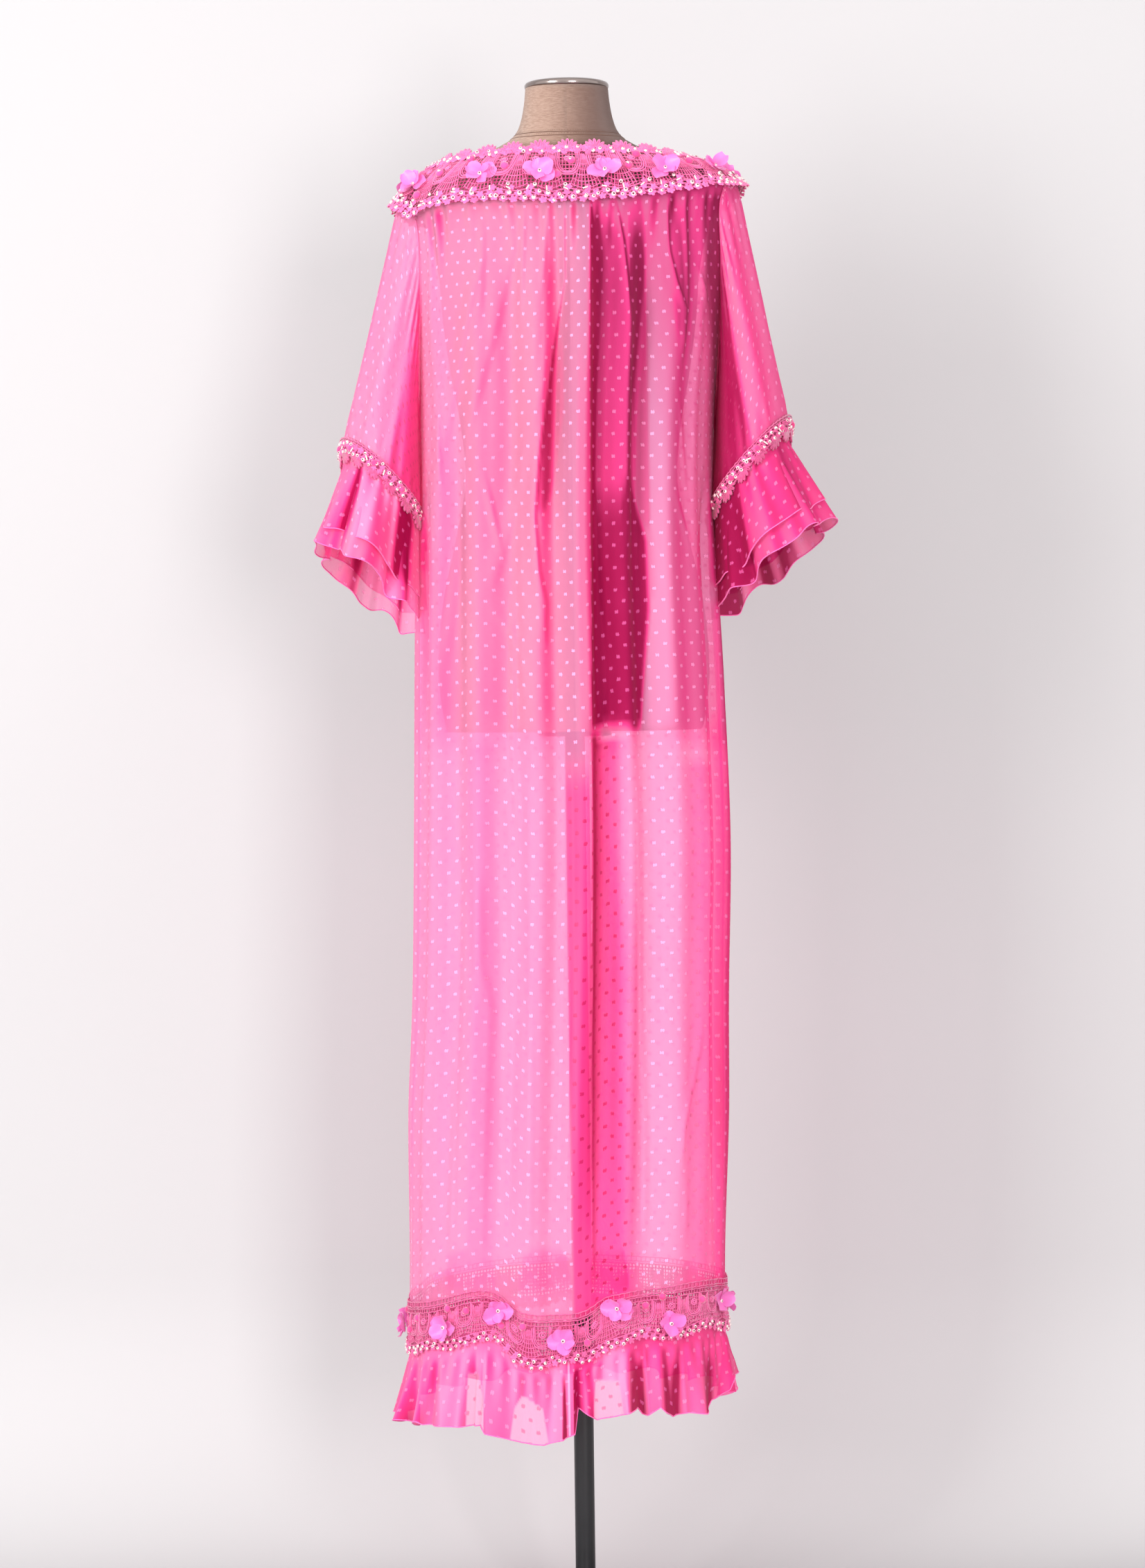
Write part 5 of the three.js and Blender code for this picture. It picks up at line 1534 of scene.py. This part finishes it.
YOKE_ROSETTES = [(-0.125, 0.2), (-0.073, 0.45), (0.004, 0.36), (-0.012, 0.62), (0.069, 0.5), (0.086, 0.22),
                 (0.149, 0.42), (0.205, 0.3), (-0.16, 0.4), (-0.18, 0.72), (0.31, 0.4), (0.39, 0.3),
                 (0.41, 0.66), (0.47, 0.3), (0.53, 0.3), (0.55, 0.68), (0.6, 0.3), (0.68, 0.4)]
for half, (middle, _, _) in HALVES.items():
    trims = Trims()
    shares = middle + np.linspace(-1, 1, 240) * (SIDE - EDGE_SHARE)
    wide = yoke_width(shares)
    net = net_grid(YOKE, shares, np.full(240, 1.0), wide * (1.0 + YOKE_SCALLOP_HEIGHT * 0.6), 14)
    ground = sheet_piece("lace_yoke_net_" + half, net, lace_net)
    inside = (np.arange(NECK_FANS // 2) + 0.5) / NECK_FANS - 0.25 + middle
    YOKE.ring = 27.0 * NECK_FANS  # the yoke is shorter round at its neckline than lower down
    shell_fans(trims, YOKE, inside, 3.0, 14.0, 1.15, 7, -1, 1.2)
    YOKE.ring = 31.0 * NECK_FANS
    widths = yoke_width(inside)
    motif(trims, YOKE, inside, 9.0, widths - 18, 30.0, 10.5)
    motif_line = np.linspace(-1, 1, 200)[None] * (SIDE - EDGE_SHARE) + middle
    line_width = yoke_width(motif_line)
    for down, lift, radius, tint in ((1.5, 0.8, 1.1, 0.55), (5.0, 0.6, 0.9, 0.45), (9.0, 0.7, 0.9, 0.6)):
        add_lines(trims, YOKE, motif_line, down + 0.8 * np.sin(motif_line * 900), lift, radius, tint=tint)
    for up, lift, radius in ((12.0, 0.6, 0.9), (7.5, 0.7, 1.0), (3.0, 0.5, 0.9)):
        dip = zigzag(motif_line, NECK_FANS, 4.0)
        add_lines(trims, YOKE, motif_line, line_width - up + dip, lift, radius, tint=0.5)
    # Knots, small loops and beads along the neckline
    many = 66
    near = middle + (np.arange(many) + 0.5) / many * 0.5 - 0.25
    add_blossoms(trims, YOKE, near, 1.0 + 2.0 * rng.random(many), 4.2)
    add_blossoms(trims, YOKE, near + 0.003, 6.5 + 2.5 * rng.random(many), 4.0)
    add_blossoms(trims, YOKE, near[::2], 11.0 + 2.5 * rng.random(len(near[::2])), 3.4)
    add_beads(trims, YOKE, near[::2] + 0.002, 2.5 + 3.0 * rng.random(len(near[::2])), 2.7, 2.2)
    add_beads(trims, YOKE, near[1::3], 8 + 3.0 * rng.random(len(near[1::3])), 2.6, 2.0)
    # Blossom border with two rows of beads along the foot
    many = 50
    low = middle + (np.arange(many) + 0.5) / many * 0.5 - 0.25
    dip = zigzag(low, NECK_FANS, 4.2)
    add_blossoms(trims, YOKE, low, yoke_width(low) - 1.5 + dip, 5.2)
    add_blossoms(trims, YOKE, low + 0.004, yoke_width(low) - 8.0 + dip * 0.8, 4.6)
    add_blossoms(trims, YOKE, low[::2] + 0.006, yoke_width(low[::2]) - 15.0 + dip[::2], 4.2)
    add_beads(trims, YOKE, low, yoke_width(low) - 2.2 + dip, 2.9, 2.6, 0.72)
    add_beads(trims, YOKE, low + 0.005, yoke_width(low) - 9.0 + dip + 1.5 * rng.random(many), 2.9, 2.4, 0.62)
    third = low[::3]
    add_beads(trims, YOKE, third + 0.002, yoke_width(third) - 16.0 + 2 * rng.random(len(third)), 2.6, 2.0)
    add_bugles(trims, YOKE, low[::2] + 0.003, yoke_width(low[::2]) - 12.5 + 3 * rng.random(len(low[::2])))
    spots = [(s, a) for s, a in YOKE_ROSETTES if abs(s - middle) < SIDE]
    at = np.array([s for s, _ in spots])
    deep = np.array([a for _, a in spots]) * yoke_width(at)
    add_balls(trims, YOKE, at, deep, 5.2)
    add_beads(trims, YOKE, at[::2], deep[::2], 2.2, 5.0)
    for k, (share, low_share) in enumerate(f for f in YOKE_FLOWERS if abs(f[0] - middle) < SIDE):
        down = low_share * float(yoke_width(np.array([share]))[0]) + 7
        add_flower(trims, YOKE, share, down, 18.0, k * 1.7 + 0.4)
    relief = trims.piece("lace_yoke_" + half, TRIM_MATERIALS)
    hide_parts("yoke_" + half)

# Hem band
HEM_MOTIFS = 34
HEM_ROSETTES = [(-0.19, 0.35), (-0.215, 0.6), (-0.14, 0.25), (-0.115, 0.4), (-0.075, 0.62), (0.088, 0.35),
                (0.107, 0.2), (0.158, 0.4), (0.02, 0.7), (-0.05, 0.3), (0.3, 0.3), (0.34, 0.7), (0.39, 0.6),
                (0.46, 0.4), (0.52, 0.65), (0.6, 0.4), (0.67, 0.6), (0.74, 0.3)]
for half, (middle, _, _) in HALVES.items():
    trims = Trims(0.7)
    shares = middle + np.linspace(-1, 1, 260) * (SIDE - EDGE_SHARE)
    foot = HEM_BAND_WIDTH + zigzag(shares, HEM_SCALLOPS, HEM_SCALLOP_HEIGHT * 0.7)
    net = net_grid(HEM, shares, np.full(260, 9.0), foot, 12)
    ground = sheet_piece("lace_hem_net_" + half, net, lace_net)
    inside = (np.arange(HEM_MOTIFS // 2) + 0.5) / HEM_MOTIFS - 0.25 + middle
    motif(trims, HEM, inside, 14.0, 36.0, GIRTH / HEM_MOTIFS, 9.0)
    line = np.linspace(-1, 1, 260)[None] * (SIDE - EDGE_SHARE) + middle
    for down, radius in ((0.6, 0.75), (6.0, 0.75), (8.4, 0.7), (13.0, 0.8)):
        add_lines(trims, HEM, line, down + 0.3 * np.sin(line * 700), 0.5, radius, tint=0.4)
    rungs = middle + (np.linspace(-1, 1, 92) * (SIDE - 0.002))[:, None]
    add_lines(trims, HEM, rungs, np.linspace(0.6, 6.0, 3)[None], 0.3, 0.6, tint=0.35)
    rungs = middle + (np.linspace(-1, 1, 130) * (SIDE - 0.002))[:, None]
    add_lines(trims, HEM, rungs, np.linspace(8.4, 13.0, 3)[None], 0.3, 0.5, tint=0.35)
    dip = zigzag(line, HEM_SCALLOPS, HEM_SCALLOP_HEIGHT)
    for up in (10.0, 5.5, 1.5):
        add_lines(trims, HEM, line, HEM_BAND_WIDTH - up + dip, 0.6, 0.9, tint=0.5)
    many = 54
    low = middle + (np.arange(many) + 0.5) / many * 0.5 - 0.25
    dip = zigzag(low, HEM_SCALLOPS, HEM_SCALLOP_HEIGHT)
    add_blossoms(trims, HEM, low, HEM_BAND_WIDTH - 1.5 + dip, 4.4)
    add_blossoms(trims, HEM, low + 0.003, HEM_BAND_WIDTH - 8 + dip, 3.6)
    add_beads(trims, HEM, low, HEM_BAND_WIDTH - 1.5 + dip, 2.4, 2.4)
    add_beads(trims, HEM, low + 0.0045, HEM_BAND_WIDTH - 7.5 + dip + 1.5 * rng.random(many), 2.4, 2.2)
    spots = [(s, a) for s, a in HEM_ROSETTES if abs(s - middle) < SIDE]
    at, down = np.array(spots).T
    add_balls(trims, HEM, at, down * HEM_BAND_WIDTH, 4.6)
    for k, (share, low_share) in enumerate(f for f in HEM_FLOWERS if abs(f[0] - middle) < SIDE):
        add_flower(trims, HEM, share, low_share * HEM_BAND_WIDTH + 2, 17.5, k * 2.3 + 0.9)
    relief = trims.piece("lace_hem_" + half, TRIM_MATERIALS)
    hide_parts("hem_band_" + half)

# Sleeve trims
for name, sleeve in SLEEVES.items():
    # The sleeve trims are darkened by trim_dim: painted shade, deepest on the right sleeve.
    trims = Trims(sleeve["trim_dim"])

    def trim_point(share, down):
        return cuff_ring(sleeve, share, down, -(CHIFFON + LACE) / 2 - SEAM)

    def trim_normal(share, down):
        return unit(trim_point(share, down) - cuff_ring(sleeve, share, down, 6))

    ring_length = 430.0
    band = Surface(trim_point, trim_normal, ring_length)
    turn = 0.5 + np.linspace(0, 1, 160)
    if sleeve["side"] > 0:
        turn = turn[::-1]
    net = net_grid(band, turn, np.full(160, -TRIM_ABOVE), np.full(160, TRIM_BELOW), 6)
    ground = sheet_piece("lace_trim_net_" + name, net, lace_net)
    line = np.linspace(0, 1, 160, endpoint=False)[None]
    for down, radius in ((-TRIM_ABOVE + 1, 0.9), (-2.0, 0.8), (3.0, 0.9), (9.0, 0.8), (14.0, 0.9)):
        add_lines(trims, band, line, down + 0.6 * np.sin(line * TAU * 60), 0.7, radius, closed=True, tint=0.5)
    fans = (np.arange(TRIM_FANS) + 0.5) / TRIM_FANS
    shell_fans(trims, band, fans, 10.0, 14.5, 1.15, 7, 1, 1.1, tint=0.3)
    many = 48
    near = (np.arange(many) + 0.5) / many
    add_blossoms(trims, band, near, 1.0 + 2 * rng.random(many), 4.2)
    add_blossoms(trims, band, near + 0.01, 8.5 + 2 * rng.random(many), 3.8)
    add_beads(trims, band, near, 0.0 + 2.0 * rng.random(many), 2.4, 2.2)
    add_beads(trims, band, near + 0.01, 8.5 + 2.0 * rng.random(many), 2.4, 2.2)
    add_bugles(trims, band, near[::3] + 0.004, 5 + 2.0 * rng.random(len(near[::3])))
    add_balls(trims, band, (np.arange(10) + 0.3) / 10, np.full(10, 5.0), 4.2)
    relief = trims.piece("lace_trim_" + name, TRIM_MATERIALS)
    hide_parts("sleeve_" + name + "_trim")

# Studio: one sweep of paper for floor and wall
WALL_Y = 540
SWEEP = 330
path = [(-7000, 0), (WALL_Y - SWEEP, 0)]
for a in np.linspace(0.1, math.pi / 2, 14):
    path.append((WALL_Y - SWEEP + SWEEP * math.sin(a), SWEEP - SWEEP * math.cos(a)))
path += [(WALL_Y, 6000)]
sweep = np.array([[(x, y, z) for x in (-6000, -2000, 2000, 6000)] for y, z in path], float)
mesh = bpy.data.meshes.new("paper_sweep")
mesh.from_pydata((sweep.reshape(-1, 3) * MM).tolist(), [], grid_faces(len(path), 4))
mesh.materials.append(paper)
mesh.polygons.foreach_set("use_smooth", np.full(len(mesh.polygons), True))
backdrop = bpy.data.objects.new("paper_sweep", mesh)
bpy.context.scene.collection.objects.link(backdrop)

world = bpy.data.worlds.new("studio") if not bpy.context.scene.world else bpy.context.scene.world
bpy.context.scene.world = world
world.use_nodes = True
background = world.node_tree.nodes.get("Background") or world.node_tree.nodes.new("ShaderNodeBackground")
background.inputs[0].default_value = (1.0, 0.985, 0.99, 1)
background.inputs[1].default_value = 1.4


def area_light(name, place, aim, size, power, colour=(1, 1, 1)):
    data = bpy.data.lights.new(name, "AREA")
    data.shape = "RECTANGLE"
    data.size = size[0]
    data.size_y = size[1]
    data.energy = power
    data.color = colour
    obj = bpy.data.objects.new(name, data)
    obj.location = place
    obj.rotation_euler = (Vector(aim) - Vector(place)).to_track_quat("-Z", "Y").to_euler()
    bpy.context.scene.collection.objects.link(obj)


area_light("key", (-2.7, -3.3, 1.9), (0.0, 0.0, 1.05), (1.5, 2.2), 160)
area_light("fill", (1.3, -4.6, 1.4), (0.2, 0.4, 1.0), (1.0, 1.8), 130, (1.0, 0.95, 0.965))

# Camera at the height and tilt of the photograph
IMAGE_HEIGHT = 2263
FOCAL_PIXELS = 6258
CAMERA = (-3.5, -5000, 1098)
TILT = 0.02716
ROLL = 0.0129
camera_data = bpy.data.cameras.new("camera")
camera_data.sensor_fit = "AUTO"
camera_data.sensor_width = 36
camera_data.lens = FOCAL_PIXELS / IMAGE_HEIGHT * 36
camera = bpy.data.objects.new("camera", camera_data)
ahead = Vector((0, math.cos(TILT), -math.sin(TILT)))
right = Vector((1, 0, 0))
up = right.cross(ahead)
up, right = up * math.cos(ROLL) + right * math.sin(ROLL), right * math.cos(ROLL) - up * math.sin(ROLL)
turned = Matrix((right, up, -ahead)).transposed().to_4x4()
camera.matrix_world = Matrix.Translation(Vector(CAMERA) * MM) @ turned
bpy.context.scene.collection.objects.link(camera)
bpy.context.scene.camera = camera
bpy.context.scene.view_settings.view_transform = "Standard"
bpy.context.scene.cycles.transparent_max_bounces = 16

bpy.context.view_layer.update()
